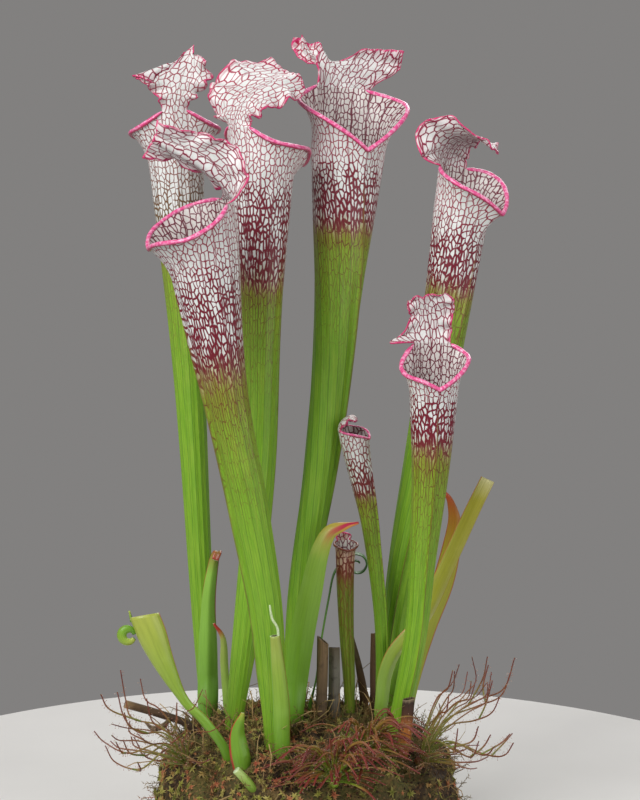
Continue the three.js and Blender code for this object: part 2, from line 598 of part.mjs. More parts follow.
  for (let l = 0; l < lidRows; l++) {
    for (let k = 0; k < across; k++) {
      skin.quad(lidOuter[l][k], lidOuter[l][k + 1], lidOuter[l + 1][k + 1], lidOuter[l + 1][k]);
      skin.quad(lidInner[l][k + 1], lidInner[l][k], lidInner[l + 1][k], lidInner[l + 1][k + 1]);
    }
    skin.quad(lidOuter[l][0], lidOuter[l + 1][0], lidInner[l + 1][0], lidInner[l][0]);
    skin.quad(lidOuter[l + 1][across], lidOuter[l][across], lidInner[l][across], lidInner[l + 1][across]);
  }
  const [tipOuter, tipInner] = [lidOuter[lidRows], lidInner[lidRows]];
  for (let k = 0; k < across; k++) skin.quad(tipOuter[k], tipOuter[k + 1], tipInner[k + 1], tipInner[k]);

  const socket = { radius: p.radius.map((r) => r / Math.cos(Math.PI / SOCKET_SIDES)), sides: SOCKET_SIDES };
  const ringAt = (v) => roundRing(path, socket, v);
  const collar = ringAt(FOOT + COLLAR_RISE.pitcher);
  return { solid: skin.solid(), hole: footHole(ringAt(0), ringAt(FOOT), collar) };
}

// Flat, folded and round leaves

const ACROSS = [1, 0.5, 0, -0.5, -1];

function bladeRing(path, b, v) {
  const t = v / path.length;
  const { T, F } = path.frame(v, radians(b.across));
  const N = new THREE.Vector3().crossVectors(T, F);
  const half = along(b.width, t);
  const fold = radians(along(b.fold ?? [0, 0], t));
  const flat = THREE.MathUtils.smoothstep(v, b.foot * BLADE_FLAT[0], b.foot * BLADE_FLAT[1]);
  const thick = Math.min(BLADE_THICK.most, BLADE_THICK.least + half * BLADE_THICK.growth);
  const middle = path.at(v);
  const place = (s, face, angle) => {
    const bulge = (thick + b.bulge * (1 - s * s) * Math.min(half / BULGE_WIDTH, 1)) / 2;
    const bend = Math.abs(s) > 0 ? fold * Math.sign(s) : 0;
    const x = s * half * Math.cos(fold) - face * bulge * Math.sin(bend);
    const y = Math.abs(s) * half * Math.sin(fold) + face * bulge * Math.cos(bend);
    const { wide, deep, least } = BLADE_FOOT;
    const round = [half * wide * Math.cos(angle), Math.max(half * deep, least) * Math.sin(angle)];
    return middle.clone()
      .addScaledVector(F, THREE.MathUtils.lerp(round[0], x, flat))
      .addScaledVector(N, THREE.MathUtils.lerp(round[1], y, flat));
  };
  const ring = [];
  const turnOf = (k) => ((k + 0.5) / ACROSS.length) * Math.PI;
  ACROSS.forEach((s, k) => ring.push(place(s, 1, turnOf(k))));
  [...ACROSS].reverse().forEach((s, k) => ring.push(place(s, -1, Math.PI + turnOf(k))));
  return ring;
}

function blade(b) {
  const path = new Path(b.path);
  const heights = [0, b.foot];
  for (let k = 1; k < b.rows; k++) heights.push(b.foot + ((path.length - b.foot) * k) / (b.rows - 1));
  const rings = heights.map((v) => bladeRing(path, b, v));
  const collar = bladeRing(path, b, b.foot + COLLAR_RISE.blade);
  return { solid: loft(rings), hole: footHole(rings[0], rings[1], collar) };
}

function roundRing(path, s, v, inset = 0, rim = 0) {
  const { F, S, T } = path.frame(v, radians(s.facing ?? -90));
  const r = along(s.radius, v / path.length) - inset;
  const ring = [];
  for (let j = 0; j < s.sides; j++) {
    const a = (2 * Math.PI * j) / s.sides;
    ring.push(path.at(v)
      .addScaledVector(F, r * (s.squash ?? 1) * Math.cos(a))
      .addScaledVector(S, r * Math.sin(a))
      .addScaledVector(T, rim * ((s.cut ?? 0) * Math.sin(a) + (s.nod ?? 0) * Math.cos(a))));
  }
  return ring;
}

function stump(s) {
  const path = new Path(s.path);
  const heights = [0, s.foot];
  for (let k = 1; k < s.rows; k++) heights.push(s.foot + ((path.length - s.foot) * k) / (s.rows - 1));
  const rimAt = (k) => (k === heights.length - 1 ? 1 : 0);
  const rings = heights.map((v, k) => roundRing(path, s, v, 0, rimAt(k)));
  const floor = path.length * s.floor;
  const inside = heights.map((v, k) => ({ v, k })).filter(({ v }) => v > floor + FLOOR_ROUND).reverse();
  inside.forEach(({ v, k }) => rings.push(roundRing(path, s, v, s.wall, rimAt(k))));
  rings.push(roundRing(path, s, floor, s.wall + FLOOR_INSET));
  const collar = roundRing(path, s, s.foot + COLLAR_RISE.blade);
  const hole = footHole(roundRing(path, s, 0), roundRing(path, s, s.foot), collar);
  return { solid: loft(rings), hole };
}

function stem(s) {
  const path = new Path(s.path);
  const heights = [0, s.foot];
  for (let k = 1; k < s.rows; k++) heights.push(s.foot + ((path.length - s.foot) * k) / (s.rows - 1));
  const rings = heights.map((v) => roundRing(path, s, v));
  const collar = roundRing(path, s, s.foot + COLLAR_RISE.stem);
  return { solid: loft(rings), hole: footHole(rings[0], rings[1], collar) };
}

const strandSteps = (points) => points.length + 1;

// A thin strand with a few sides, its section carried along without twisting.
function strand(points, radius, sides = 3, squash = 1) {
  const path = new Path(points);
  const steps = strandSteps(points);
  let N = null;
  const rings = [];
  for (let k = 0; k <= steps; k++) {
    const v = (path.length * k) / steps;
    const T = path.at(v + 0.5).sub(path.at(Math.max(v - 0.5, 0))).normalize();
    if (!N) N = Math.abs(T.z) < 0.9 ? new THREE.Vector3(0, 0, 1) : new THREE.Vector3(1, 0, 0);
    N = N.clone().addScaledVector(T, -N.dot(T)).normalize();
    const B = new THREE.Vector3().crossVectors(T, N);
    const r = along(radius, k / steps);
    const ring = [];
    for (let j = 0; j < sides; j++) {
      const a = (2 * Math.PI * j) / sides;
      ring.push(path.at(v)
        .addScaledVector(N, r * Math.cos(a))
        .addScaledVector(B, r * squash * Math.sin(a)));
    }
    rings.push(ring);
  }
  return loft(rings);
}

// The middle of the strand's section that lies nearest a place.
function nearestStep(points, place) {
  const path = new Path(points);
  const steps = strandSteps(points);
  const middles = [];
  for (let k = 0; k <= steps; k++) middles.push(path.at((path.length * k) / steps));
  middles.sort((a, b) => a.distanceTo(place) - b.distanceTo(place));
  return middles[0].toArray();
}

// The thin green leaf: a narrow strap that climbs and then winds into a loop.
function curledLeaf(c) {
  const points = [...c.path];
  for (let k = 0; k <= c.steps; k++) {
    const a = radians(c.from) - (2 * Math.PI * c.turns * k) / c.steps;
    const r = THREE.MathUtils.lerp(c.radius[0], c.radius[1], k / c.steps);
    points.push([c.centre[0] + r * Math.cos(a), c.centre[1], c.centre[2] + r * Math.sin(a)]);
  }
  return blade({
    path: points, width: c.width, fold: [0, 0], across: 90, bulge: c.bulge, foot: c.foot, rows: LOOP_ROWS,
  });
}

// A ring of leaf beside the cut pitcher's rim.
function leafRing(r) {
  const points = [];
  for (let k = 0; k <= r.steps; k++) {
    const a = radians(r.start + (r.sweep * k) / r.steps);
    points.push([r.centre[0] + r.radius * Math.cos(a), r.centre[1], r.centre[2] + r.radius * Math.sin(a)]);
  }
  const swollen = r.thick * r.swell;
  return strand(points, [r.thick, swollen, swollen, r.thick], r.sides, r.width / r.thick);
}

// Moss mound, rhizome and sundews

function moundPoint(up, bearing) {
  const p = along(MOUND.profile, up);
  const fade = Math.min(1, p.x / MOUND.calm) * Math.min(1, up * MOUND.start);
  let lobes = 1;
  for (const [size, count, start] of MOUND.lobes) lobes += size * Math.sin(count * bearing + start);
  let bumps = 0;
  for (const [size, count, climb, start] of MOUND.bumps)
    bumps += size * Math.sin(count * bearing + climb * up + start);
  const r = p.x * lobes + fade * bumps * MOUND.lean;
  return new THREE.Vector3(
    MOUND.centre[0] + r * Math.cos(bearing),
    MOUND.centre[1] + r * Math.sin(bearing),
    p.z + fade * bumps,
  );
}

function moundBody() {
  const skin = new Skin();
  const { sectors, rings } = MOUND;
  const ids = [];
  for (let i = 0; i < rings; i++) {
    ids.push([]);
    for (let j = 0; j < sectors; j++) {
      const q = moundPoint(i / rings, (2 * Math.PI * (j + (i % 2) / 2)) / sectors);
      if (i === 0) q.z = 0;
      ids[i].push(skin.add(q));
    }
  }
  const under = skin.add(new THREE.Vector3(MOUND.centre[0], MOUND.centre[1], 0));
  const peak = skin.add(moundPoint(1, 0));
  for (let j = 0; j < sectors; j++) {
    const k = (j + 1) % sectors;
    skin.tri(under, ids[0][k], ids[0][j]);
    for (let i = 0; i + 1 < rings; i++) {
      if (i % 2) {
        skin.tri(ids[i][j], ids[i][k], ids[i + 1][k]);
        skin.tri(ids[i][j], ids[i + 1][k], ids[i + 1][j]);
      } else {
        skin.tri(ids[i][j], ids[i][k], ids[i + 1][j]);
        skin.tri(ids[i][k], ids[i + 1][k], ids[i + 1][j]);
      }
    }
    skin.tri(ids[rings - 1][j], ids[rings - 1][k], peak);
  }
  return skin.solid();
}

// A faceted ball.
function ball(centre, radius, sides) {
  const shape = new THREE.SphereGeometry(radius, sides, Math.ceil(sides / 2));
  shape.translate(centre.x, centre.y, centre.z);
  shape.deleteAttribute('normal');
  shape.deleteAttribute('uv');
  const merged = mergeVertices(shape, 1e-3);
  return new Manifold(new Mesh({
    numProp: 3,
    vertProperties: new Float32Array(merged.attributes.position.array),
    triVerts: new Uint32Array(merged.index.array),
  }));
}

// The rhizome: straight joints of rootstock between round knots, which each leaf grows from.
function rhizomeBody(extra) {
  const { radius, joint, sides, lines } = RHIZOME;
  const parts = [];
  for (const [first, line] of lines.entries()) {
    for (const knot of line.slice(first ? 1 : 0)) parts.push(ball(vec(knot), radius + extra, sides));
    for (let k = 0; k + 1 < line.length; k++) {
      const stretch = new Path([line[k], line[k + 1]]);
      const section = { radius: [joint + extra, joint + extra], sides, facing: 90 };
      parts.push(loft([roundRing(stretch, section, 0), roundRing(stretch, section, stretch.length)]));
    }
  }
  return Manifold.union(parts);
}

// A small repeatable random sequence, so that each sundew always grows the same way.
function seeded(seed) {
  let state = seed * 2654435761 % 4294967296;
  return () => {
    state = (state * 1664525 + 1013904223) % 4294967296;
    return state / 4294967296;
  };
}

function sundew(s) {
  const random = seeded(s.seed);
  const between = ([a, b]) => a + (b - a) * random();
  const crown = moundPoint(s.up, radians(s.bearing)).add(new THREE.Vector3(0, 0, CROWN_LIFT));
  let body = ball(crown, CROWN, CROWN_SIDES);
  for (let i = 0; i < s.arms; i++) {
    const place = (i + SPREAD[0] + SPREAD[1] * random()) / s.arms;
    const bearing = radians(s.fan[0] + (s.fan[1] - s.fan[0]) * place);
    const reach = between(s.reach);
    const rise = between(s.rise);
    const out = (share, up, turn = 0) => crown.clone().add(new THREE.Vector3(
      Math.cos(bearing + turn) * reach * share,
      Math.sin(bearing + turn) * reach * share,
      up,
    ));
    const sway = SWAY * (random() - 0.5);
    if (s.fork) {
      const fork = out(FORK.share, rise * FORK.rise, sway);
      const [near, far] = PRONG;
      const prong = (way) => {
        const lift = far.lift * (far.least + random() * (1 - far.least));
        return [
          out(near.share, rise * near.rise + near.lift, sway + way).toArray(),
          out(far.share, rise * far.rise + lift, sway + way * far.spread).toArray(),
        ];
      };
      const bend = out(STALK.share, STALK.lift + rise * STALK.rise);
      const arm = [crown.toArray(), bend.toArray(), fork.toArray(), ...prong(-FORK.angle)];
      const start = nearestStep(arm, fork);
      body = body.add(strand(arm, ARM)).add(strand([start, ...prong(FORK.angle)], [ARM[1], ARM[1]]));
    } else {
      const tip = out(1, rise, sway);
      const knee = out(KNEE.share, rise * KNEE.rise + KNEE.lift);
      body = body.add(strand([crown.toArray(), knee.toArray(), tip.toArray()], [ARM[0], LEAF_TIP]));
    }
  }
  return { solid: body.simplify(SLIVER), hole: ball(crown, CROWN + CROWN_ROOM, CROWN_SIDES) };
}

// The plant

const made = {};
for (const [name, p] of Object.entries(PITCHERS)) made[name] = pitcher(p);
for (const [name, b] of Object.entries(BLADES)) made[name] = blade(b);
for (const [name, s] of Object.entries(STUMPS)) made[name] = stump(s);
for (const [name, s] of Object.entries(STEMS)) made[name] = stem(s);
made.leaf_curled_green = curledLeaf(LOOP);
made.pitcher_cut.solid = made.pitcher_cut.solid.add(leafRing(RING)).add(strand(SPIKE, [1.1, 0.9, 0.6], 5));
made.leaf_cut_tube.solid = made.leaf_cut_tube.solid.add(strand(STRAND, [1, 0.9, 0.9, 0.6], 5));
made.stem_lying.solid = made.stem_lying.solid.add(strand(DRY_CURL, [1.2, 2.6, 2.4, 1], 6, 0.45));
for (const [name, s] of Object.entries(SUNDEWS)) made[name] = sundew(s);

const holes = Manifold.union(Object.values(made).map((m) => m.hole));
made.rhizome = { solid: rhizomeBody(0).subtract(holes).simplify(SLIVER) };
const hollows = Manifold.union([holes, rhizomeBody(GAP)]);
made.moss_mound = { solid: moundBody().subtract(hollows).simplify(SLIVER) };

const COLOURS = {
  white_net: { color: 0xd9c4c2, roughness: 0.5 },
  leaf_green: { color: 0x6fa32c, roughness: 0.45 },
  leaf_yellow: { color: 0xa9a43a, roughness: 0.5 },
  dead_leaf: { color: 0x5a4633, roughness: 0.85 },
  moss: { color: 0x6b6a35, roughness: 0.95 },
  rhizome_brown: { color: 0x6b4a2c, roughness: 0.9 },
  sundew_red: { color: 0x9a4a36, roughness: 0.4 },
};
const COLOUR_OF = {
  moss_mound: 'moss', rhizome: 'rhizome_brown',
  leaf_folded_yellow: 'leaf_yellow', leaf_sickle: 'leaf_yellow',
  pitcher_cut: 'leaf_yellow', stub_pale: 'leaf_yellow',
  stub_hollow_brown: 'dead_leaf', stub_grey: 'dead_leaf', stub_spike: 'dead_leaf',
  stub_dark: 'dead_leaf', stub_holed: 'dead_leaf', stem_lying: 'dead_leaf',
};

function colourOf(name) {
  if (COLOUR_OF[name]) return COLOUR_OF[name];
  if (name.startsWith('sundew')) return 'sundew_red';
  return name in PITCHERS ? 'white_net' : 'leaf_green';
}

function meshOf(name, solid) {
  const { numProp, vertProperties, triVerts, numVert } = solid.getMesh();
  const positions = new Float32Array(numVert * 3);
  for (let i = 0; i < numVert; i++)
    for (let k = 0; k < 3; k++) positions[i * 3 + k] = vertProperties[i * numProp + k];
  const geometry = new THREE.BufferGeometry();
  geometry.setAttribute('position', new THREE.BufferAttribute(positions, 3));
  geometry.setIndex(new THREE.BufferAttribute(new Uint32Array(triVerts), 1));
  geometry.computeVertexNormals();
  const material = new THREE.MeshStandardMaterial({ ...COLOURS[colourOf(name)], metalness: 0 });
  const mesh = new THREE.Mesh(geometry, material);
  mesh.name = name;
  return mesh;
}

const group = new THREE.Group();
group.name = 'white_topped_pitcher_plant';
for (const [name, m] of Object.entries(made)) group.add(meshOf(name, m.solid));

export default group;
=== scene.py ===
# %% [markdown]
# # A white-topped pitcher plant
# The plant is a clump of hollow leaves. Each tall leaf is a rolled tube that widens to a mouth with
# a thick pink lip and a frilled lid, and its top is white with a red net of veins. The clump grows
# from a mound of moss and peat, with thread-leaved sundews at its edges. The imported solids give
# every place and size. This script gives the same forms a finer surface, their finishes, and the
# small things that grow on them.

import math

import bpy
import numpy as np
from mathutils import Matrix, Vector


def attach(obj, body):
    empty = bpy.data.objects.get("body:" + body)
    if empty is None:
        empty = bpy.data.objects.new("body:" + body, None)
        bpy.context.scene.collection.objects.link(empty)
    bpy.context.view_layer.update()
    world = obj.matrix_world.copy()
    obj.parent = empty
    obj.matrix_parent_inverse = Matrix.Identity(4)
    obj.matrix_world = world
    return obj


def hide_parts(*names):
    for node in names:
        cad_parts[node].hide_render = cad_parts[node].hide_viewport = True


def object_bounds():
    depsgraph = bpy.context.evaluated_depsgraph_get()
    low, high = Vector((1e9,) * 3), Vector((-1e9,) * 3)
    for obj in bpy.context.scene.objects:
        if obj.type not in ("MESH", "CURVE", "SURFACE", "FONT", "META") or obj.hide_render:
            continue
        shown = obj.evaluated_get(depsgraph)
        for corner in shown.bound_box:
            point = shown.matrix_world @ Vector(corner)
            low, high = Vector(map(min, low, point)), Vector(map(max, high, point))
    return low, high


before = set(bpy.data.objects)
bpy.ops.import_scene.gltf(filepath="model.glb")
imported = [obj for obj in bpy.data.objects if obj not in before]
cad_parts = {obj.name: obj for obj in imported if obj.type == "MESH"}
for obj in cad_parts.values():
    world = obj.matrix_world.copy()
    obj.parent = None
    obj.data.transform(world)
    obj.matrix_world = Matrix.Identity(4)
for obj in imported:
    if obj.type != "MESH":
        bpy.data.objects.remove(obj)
cad_low, cad_high = [list(corner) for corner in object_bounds()]
MM = 0.001
print("solids:", len(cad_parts), "height in mm:", round((cad_high[2] - cad_low[2]) / MM))

# %% [markdown]
# ## Camera, floor and light
# The camera stands 1.6 m away and looks a little down, which gives the clump the slight spread of
# a picture taken by hand. The floor is a plain pale disc that ends behind the plant, so that the
# grey of the world shows above it. One large soft light stands at the upper left, because the left
# sides of the leaves are the bright ones, and two weaker lights open up the shadows.

# %% Camera
CAMERA_DISTANCE = 1600
CAMERA_ELEVATION = math.radians(8)
CAMERA_TARGET = (10, 0, 320)
CAMERA_LENS = 102.86

camera_data = bpy.data.cameras.new("camera")
camera_data.lens = CAMERA_LENS
camera_data.sensor_width = 36
camera = bpy.data.objects.new("camera", camera_data)
bpy.context.scene.collection.objects.link(camera)
camera.location = (
    CAMERA_TARGET[0] * MM,
    (CAMERA_TARGET[1] - CAMERA_DISTANCE * math.cos(CAMERA_ELEVATION)) * MM,
    (CAMERA_TARGET[2] + CAMERA_DISTANCE * math.sin(CAMERA_ELEVATION)) * MM,
)
camera.rotation_euler = (math.pi / 2 - CAMERA_ELEVATION, 0, 0)
bpy.context.scene.camera = camera
print("camera at", [round(value, 3) for value in camera.location])

# %% Lights and world
LIGHTS = {
    "key": ((-0.95, -1.15, 1.35), 1.1, 30),
    "fill": ((1.25, -0.95, 0.7), 1.3, 10),
    "back": ((0.35, 1.15, 1.2), 1.0, 11),
}
for name, (place, size, power) in LIGHTS.items():
    light = bpy.data.lights.new(name, "AREA")
    light.size = size
    light.energy = power
    lamp = bpy.data.objects.new(name, light)
    bpy.context.scene.collection.objects.link(lamp)
    lamp.location = place
    toward = np.array([0, 0, 0.3]) - np.array(place)
    pitch = math.atan2(math.hypot(toward[0], toward[1]), -toward[2])
    lamp.rotation_euler = (pitch, 0, math.atan2(toward[1], toward[0]) - math.pi / 2)

world = bpy.data.worlds.new("studio")
world.use_nodes = True
background = world.node_tree.nodes["Background"]
background.inputs["Color"].default_value = (0.222, 0.216, 0.212, 1)
background.inputs["Strength"].default_value = 1
bpy.context.scene.world = world
bpy.context.scene.view_settings.view_transform = "Standard"
print("lights:", ", ".join(LIGHTS))

# %% [markdown]
# ## Writing materials as expressions
# A shader is a web of small nodes, and long webs are hard to read. The class below wraps a socket,
# so that sums and products of masks can be written as ordinary expressions, and one method makes
# any other node from its type, its settings and its inputs. Colours are written as screen values.

# %% Shader helper
SCREEN_POWER = 2.2


class Value:
    """A socket that takes part in arithmetic."""

    def __init__(self, shader, socket):
        self.shader = shader
        self.socket = socket

    def math(self, operation, *others):
        return self.shader.node("Math", {"operation": operation}, self, *others)

    def __add__(self, other):
        return self.math("ADD", other)

    __radd__ = __add__

    def __sub__(self, other):
        return self.math("SUBTRACT", other)

    def __rsub__(self, other):
        return self.shader.node("Math", {"operation": "SUBTRACT"}, other, self)

    def __mul__(self, other):
        return self.math("MULTIPLY", other)

    def __truediv__(self, other):
        return self.math("DIVIDE", other)

    def __abs__(self):
        return self.math("ABSOLUTE")

    def most(self, other):
        return self.math("MAXIMUM", other)

    def fraction(self):
        return self.math("FRACT")

    def between(self, low, high, start=0.0, end=1.0, kind="SMOOTHSTEP"):
        """A smooth change from start to end while the value goes from low to high."""
        values = {"Value": self, "From Min": low, "From Max": high, "To Min": start, "To Max": end}
        return self.shader.node("MapRange", {"interpolation_type": kind}, **values)

    def line(self, *ends):
        """The same change, but straight."""
        return self.between(*ends, kind="LINEAR")


class Shader:
    """One material and the nodes in it."""

    def __init__(self, name):
        self.material = bpy.data.materials.new(name)
        self.material.use_nodes = True
        self.tree = self.material.node_tree
        self.surface = self.tree.nodes["Principled BSDF"]

    def node(self, kind, settings=None, *inputs, out=0, **named):
        """Any node: its settings first, then its inputs by order or by name."""
        made = self.tree.nodes.new("ShaderNode" + kind)
        for key, value in (settings or {}).items():
            setattr(made, key, value)
        for key, value in list(enumerate(inputs)) + list(named.items()):
            self.feed(made.inputs[key], value)
        return Value(self, made.outputs[out])

    def feed(self, socket, value):
        if isinstance(value, Value):
            self.tree.links.new(value.socket, socket)
        elif socket.type == "RGBA":
            socket.default_value = (*linear(value), 1)
        else:
            socket.default_value = value

    def vector(self, operation, *inputs, **named):
        return self.node("VectorMath", {"operation": operation}, *inputs, **named)

    def split(self, vector):
        made = self.tree.nodes.new("ShaderNodeSeparateXYZ")
        self.feed(made.inputs[0], vector)
        return [Value(self, socket) for socket in made.outputs]

    def join(self, x, y, z=0.0):
        return self.node("CombineXYZ", {}, x, y, z)

    def uv(self, name):
        return self.node("UVMap", {"uv_map": name})

    def attribute(self, name):
        return self.node("Attribute", {"attribute_name": name}, out=2)

    def place(self):
        return self.node("TexCoord", {}, out=3)

    def noise(self, vector, scale, detail=2.0, out=0):
        values = {"Vector": vector, "Scale": scale, "Detail": detail}
        return self.node("TexNoise", {}, out=out, **values)

    def shift(self, vector, by, amount):
        """A place moved a little by a noise colour, so that straight things wander."""
        centred = self.vector("SUBTRACT", by, (0.5, 0.5, 0.5))
        return self.vector("ADD", vector, self.vector("SCALE", centred, Scale=amount))

    def mix(self, factor, low, high):
        """A colour between two colours."""
        made = self.tree.nodes.new("ShaderNodeMix")
        made.data_type = "RGBA"
        made.clamp_factor = True
        self.feed(made.inputs[0], factor)
        self.feed(made.inputs[6], low)
        self.feed(made.inputs[7], high)
        return Value(self, made.outputs[2])

    def ramp(self, factor, stops):
        """A colour that follows a list of (position, colour) stops."""
        made = self.tree.nodes.new("ShaderNodeValToRGB")
        elements = made.color_ramp.elements
        while len(elements) < len(stops):
            elements.new(0.5)
        for element, (position, colour) in zip(elements, stops):
            element.position = position
            element.color = (*linear(colour), 1)
        self.feed(made.inputs[0], factor)
        return Value(self, made.outputs[0])

    def finish(self, colour, roughness, height=None, depth=0.3, coat=0.0):
        """Feeds the surface: colour, roughness, and a bump whose depth is in millimetres."""
        self.feed(self.surface.inputs["Base Color"], colour)
        self.feed(self.surface.inputs["Roughness"], roughness)
        self.surface.inputs["Coat Weight"].default_value = coat
        if height is not None:
            values = {"Strength": 1.0, "Distance": depth * MM, "Height": height}
            self.feed(self.surface.inputs["Normal"], self.node("Bump", {}, **values))
        return self.material


def linear(colour):
    """A colour's screen values, 0 to 255, as the shader's linear ones."""
    return tuple((value / 255) ** SCREEN_POWER for value in colour)


print("shader helper ready")

# %% [markdown]
# ## Curves that the leaves follow
# Every leaf follows a smooth path, with a width or a radius that changes along it. These are the
# same two helpers that shaped the solids: a smooth reading of evenly spaced values, and a path that
# is read by its length and gives the side that faces a bearing.

# %% Smooth values and paths
def along(values, share):
    """A smooth value at a share (0 to 1) of the way through evenly spaced numbers or points."""
    values = np.asarray(values, float)
    share = np.asarray(share, float)
    last = len(values) - 1
    place = np.clip(share, 0, 1) * last
    i = np.minimum(np.floor(place).astype(int), last - 1)
    f = place - i
    ends = (2 * values[:1] - values[1:2], 2 * values[-1:] - values[-2:-1])
    padded = np.concatenate([ends[0], values, ends[1]])
    a, b, c, d = padded[i], padded[i + 1], padded[i + 2], padded[i + 3]
    if values.ndim > 1:
        f = f[..., None]
    bend = 2 * a - 5 * b + 4 * c - d
    twist = 3 * b - a - 3 * c + d
    return 0.5 * (2 * b + (c - a) * f + bend * f**2 + twist * f**3)


def unit(vector):
    return vector / np.linalg.norm(vector, axis=-1, keepdims=True)


def smooth(value, low, high):
    share = np.clip((np.asarray(value, float) - low) / (high - low), 0, 1)
    return share * share * (3 - 2 * share)


class Path:
    """A curve through points, read by its length."""

    STEPS = 160

    def __init__(self, points):
        self.points = np.asarray(points, float)
        self.shares = np.linspace(0, 1, self.STEPS + 1)
        line = along(self.points, self.shares)
        steps = np.linalg.norm(np.diff(line, axis=0), axis=1)
        self.lengths = np.concatenate([[0], np.cumsum(steps)])
        self.length = self.lengths[-1]
        self.end_way = unit(line[-1] - along(self.points, 0.98))

    def at(self, v):
        v = np.asarray(v, float)
        point = along(self.points, np.interp(v, self.lengths, self.shares))
        return point + np.maximum(v - self.length, 0)[..., None] * self.end_way

    def frame(self, v, bearing):
        """The way the path runs, the side that faces the bearing, and the side to its left."""
        v = np.asarray(v, float)
        way = unit(self.at(v + 1) - self.at(np.maximum(v - 1, 0)))
        bearing = np.broadcast_to(bearing, v.shape)
        face = np.stack([np.cos(bearing), np.sin(bearing), np.zeros(v.shape)], -1)
        face = unit(face - (face * way).sum(-1, keepdims=True) * way)
        return way, face, np.cross(way, face)


print("a path through two points is", round(Path([[0, 0, 0], [0, 0, 9]]).length, 3), "long")

# %% [markdown]
# ## Meshes from grids
# A leaf's surface is a grid of points, rows along it and columns across it. The builder below
# collects such grids in one mesh, with a material, texture places for each corner and a few numbers
# for each point, so that a pattern can follow the surface.

# %% Grid builder
def around(sides):
    """Angles once round, without the last one."""
    return np.linspace(0, 2 * math.pi, sides, endpoint=False)


def closed(grid):
    """A grid whose first column comes again at its end, so that its skin closes."""
    return np.concatenate([grid, grid[:, :1]], 1)


def mark_points(mesh, name, values):
    """Stores a number for each point of a mesh."""
    stored = mesh.attributes.new(name, "FLOAT", "POINT")
    stored.data.foreach_set("value", np.array(values, np.float32))


class Surface:
    """Grids of points in one mesh. Places are in millimetres."""

    def __init__(self):
        self.points = []
        self.count = 0
        self.quads = []
        self.maps = {}
        self.marks = {}
        self.slots = []

    def add(self, grid, **marks):
        """Adds points and returns their numbers in the grid's shape."""
        grid = np.asarray(grid, float)
        ids = np.arange(self.count, self.count + grid[..., 0].size).reshape(grid.shape[:-1])
        self.points.append(grid.reshape(-1, 3))
        for key, value in marks.items():
            filled = np.broadcast_to(value, grid.shape[:-1]).reshape(-1)
            self.marks.setdefault(key, []).append((self.count, filled))
        self.count += ids.size
        return ids

    def skin(self, ids, slot=0, flip=False, **maps):
        """Faces between neighbouring rows and columns of a grid of point numbers."""
        corners = [(0, 0), (0, 1), (1, 1), (1, 0)]
        if flip:
            corners.reverse()
        rows, columns = ids.shape

        def pick(values):
            parts = [values[a : rows - 1 + a, b : columns - 1 + b] for a, b in corners]
            return np.stack(parts, 2).reshape(-1, 4, *values.shape[2:])

        quads = pick(ids)
        self.quads.append(quads)
        self.slots.append(np.full(len(quads), slot))
        for key in ("net", "zone"):
            value = maps.get(key)
            value = np.zeros((len(quads), 4, 2)) if value is None else pick(np.asarray(value, float))
            self.maps.setdefault(key, []).append(value)

    def cap(self, ring, point, slot=0, flip=False, **marks):
        """Closes a ring of point numbers with a fan to a new point."""
        centre = self.add(np.reshape(point, (1, 3)), **marks)[0]
        ids = np.stack([np.append(ring, ring[0]), np.full(len(ring) + 1, centre)])
        self.skin(ids, slot, flip)

    def bare_mesh(self, name):
        """The mesh in metres, its quads and which of them are faces, as one can be only a line."""
        quads = np.concatenate(self.quads)
        faces = [list(dict.fromkeys(quad)) for quad in quads.tolist()]
        kept = np.array([len(face) > 2 for face in faces])
        mesh = bpy.data.meshes.new(name)
        points = np.concatenate(self.points) * MM
        mesh.from_pydata(points.tolist(), [], [face for face in faces if len(face) > 2])
        return mesh, quads, kept

    def piece(self, name, materials, slot_name):
        """The finished object, at the origin, riding on the part's only body."""
        mesh, quads, kept = self.bare_mesh(name)
        slots = np.concatenate(self.slots)[kept]
        mesh.polygons.foreach_set("material_index", slots.astype(np.int32))
        mesh.polygons.foreach_set("use_smooth", np.ones(len(mesh.polygons), bool))
        for key, parts in self.maps.items():
            values = np.concatenate(parts)[kept]
            flat = []
            for quad, value in zip(quads[kept].tolist(), values.tolist()):
                seen = set()
                for i, place in zip(quad, value):
                    if i not in seen:
                        seen.add(i)
                        flat.extend(place)
            mesh.uv_layers.new(name=key).data.foreach_set("uv", flat)
        for key, parts in self.marks.items():
            values = np.zeros(self.count, np.float32)
            for start, part in parts:
                values[start : start + len(part)] = part
            mark_points(mesh, key, values)
        for material in materials:
            mesh.materials.append(material)
        mesh.validate()
        return hold(bpy.data.objects.new(name, mesh))


def hold(piece):
    """Puts a piece in the scene, on the part's body."""
    bpy.context.scene.collection.objects.link(piece)
    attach(piece, "root")
    return piece


def triangles(piece):
    return sum(len(face.vertices) - 2 for face in piece.data.polygons)


print("grid builder ready")

# %% [markdown]
# ## The floor
# The plant stands on a plain pale round table top. Its edge lies behind the plant, a little below
# the leaves, as a table's edge does. It belongs to the scene and not to the plant.

# %% Floor
FLOOR_RADIUS = 420
FLOOR_THICKNESS = 12
FLOOR_SIDES = 128


def table_top():
    turn = around(FLOOR_SIDES)
    ring = np.stack([np.cos(turn), np.sin(turn), np.zeros(FLOOR_SIDES)], 1) * FLOOR_RADIUS
    low = ring - [0, 0, FLOOR_THICKNESS]
    mesh = bpy.data.meshes.new("floor")
    count = FLOOR_SIDES
    sides = [(k + count, (k + 1) % count + count, (k + 1) % count, k) for k in range(count)]
    bottom = tuple(reversed(range(count, 2 * count)))
    points = (np.concatenate([ring, low]) * MM).tolist()
    mesh.from_pydata(points, [], [tuple(range(count)), *sides, bottom])
    floor = bpy.data.objects.new("floor", mesh)
    bpy.context.scene.collection.objects.link(floor)
    return floor


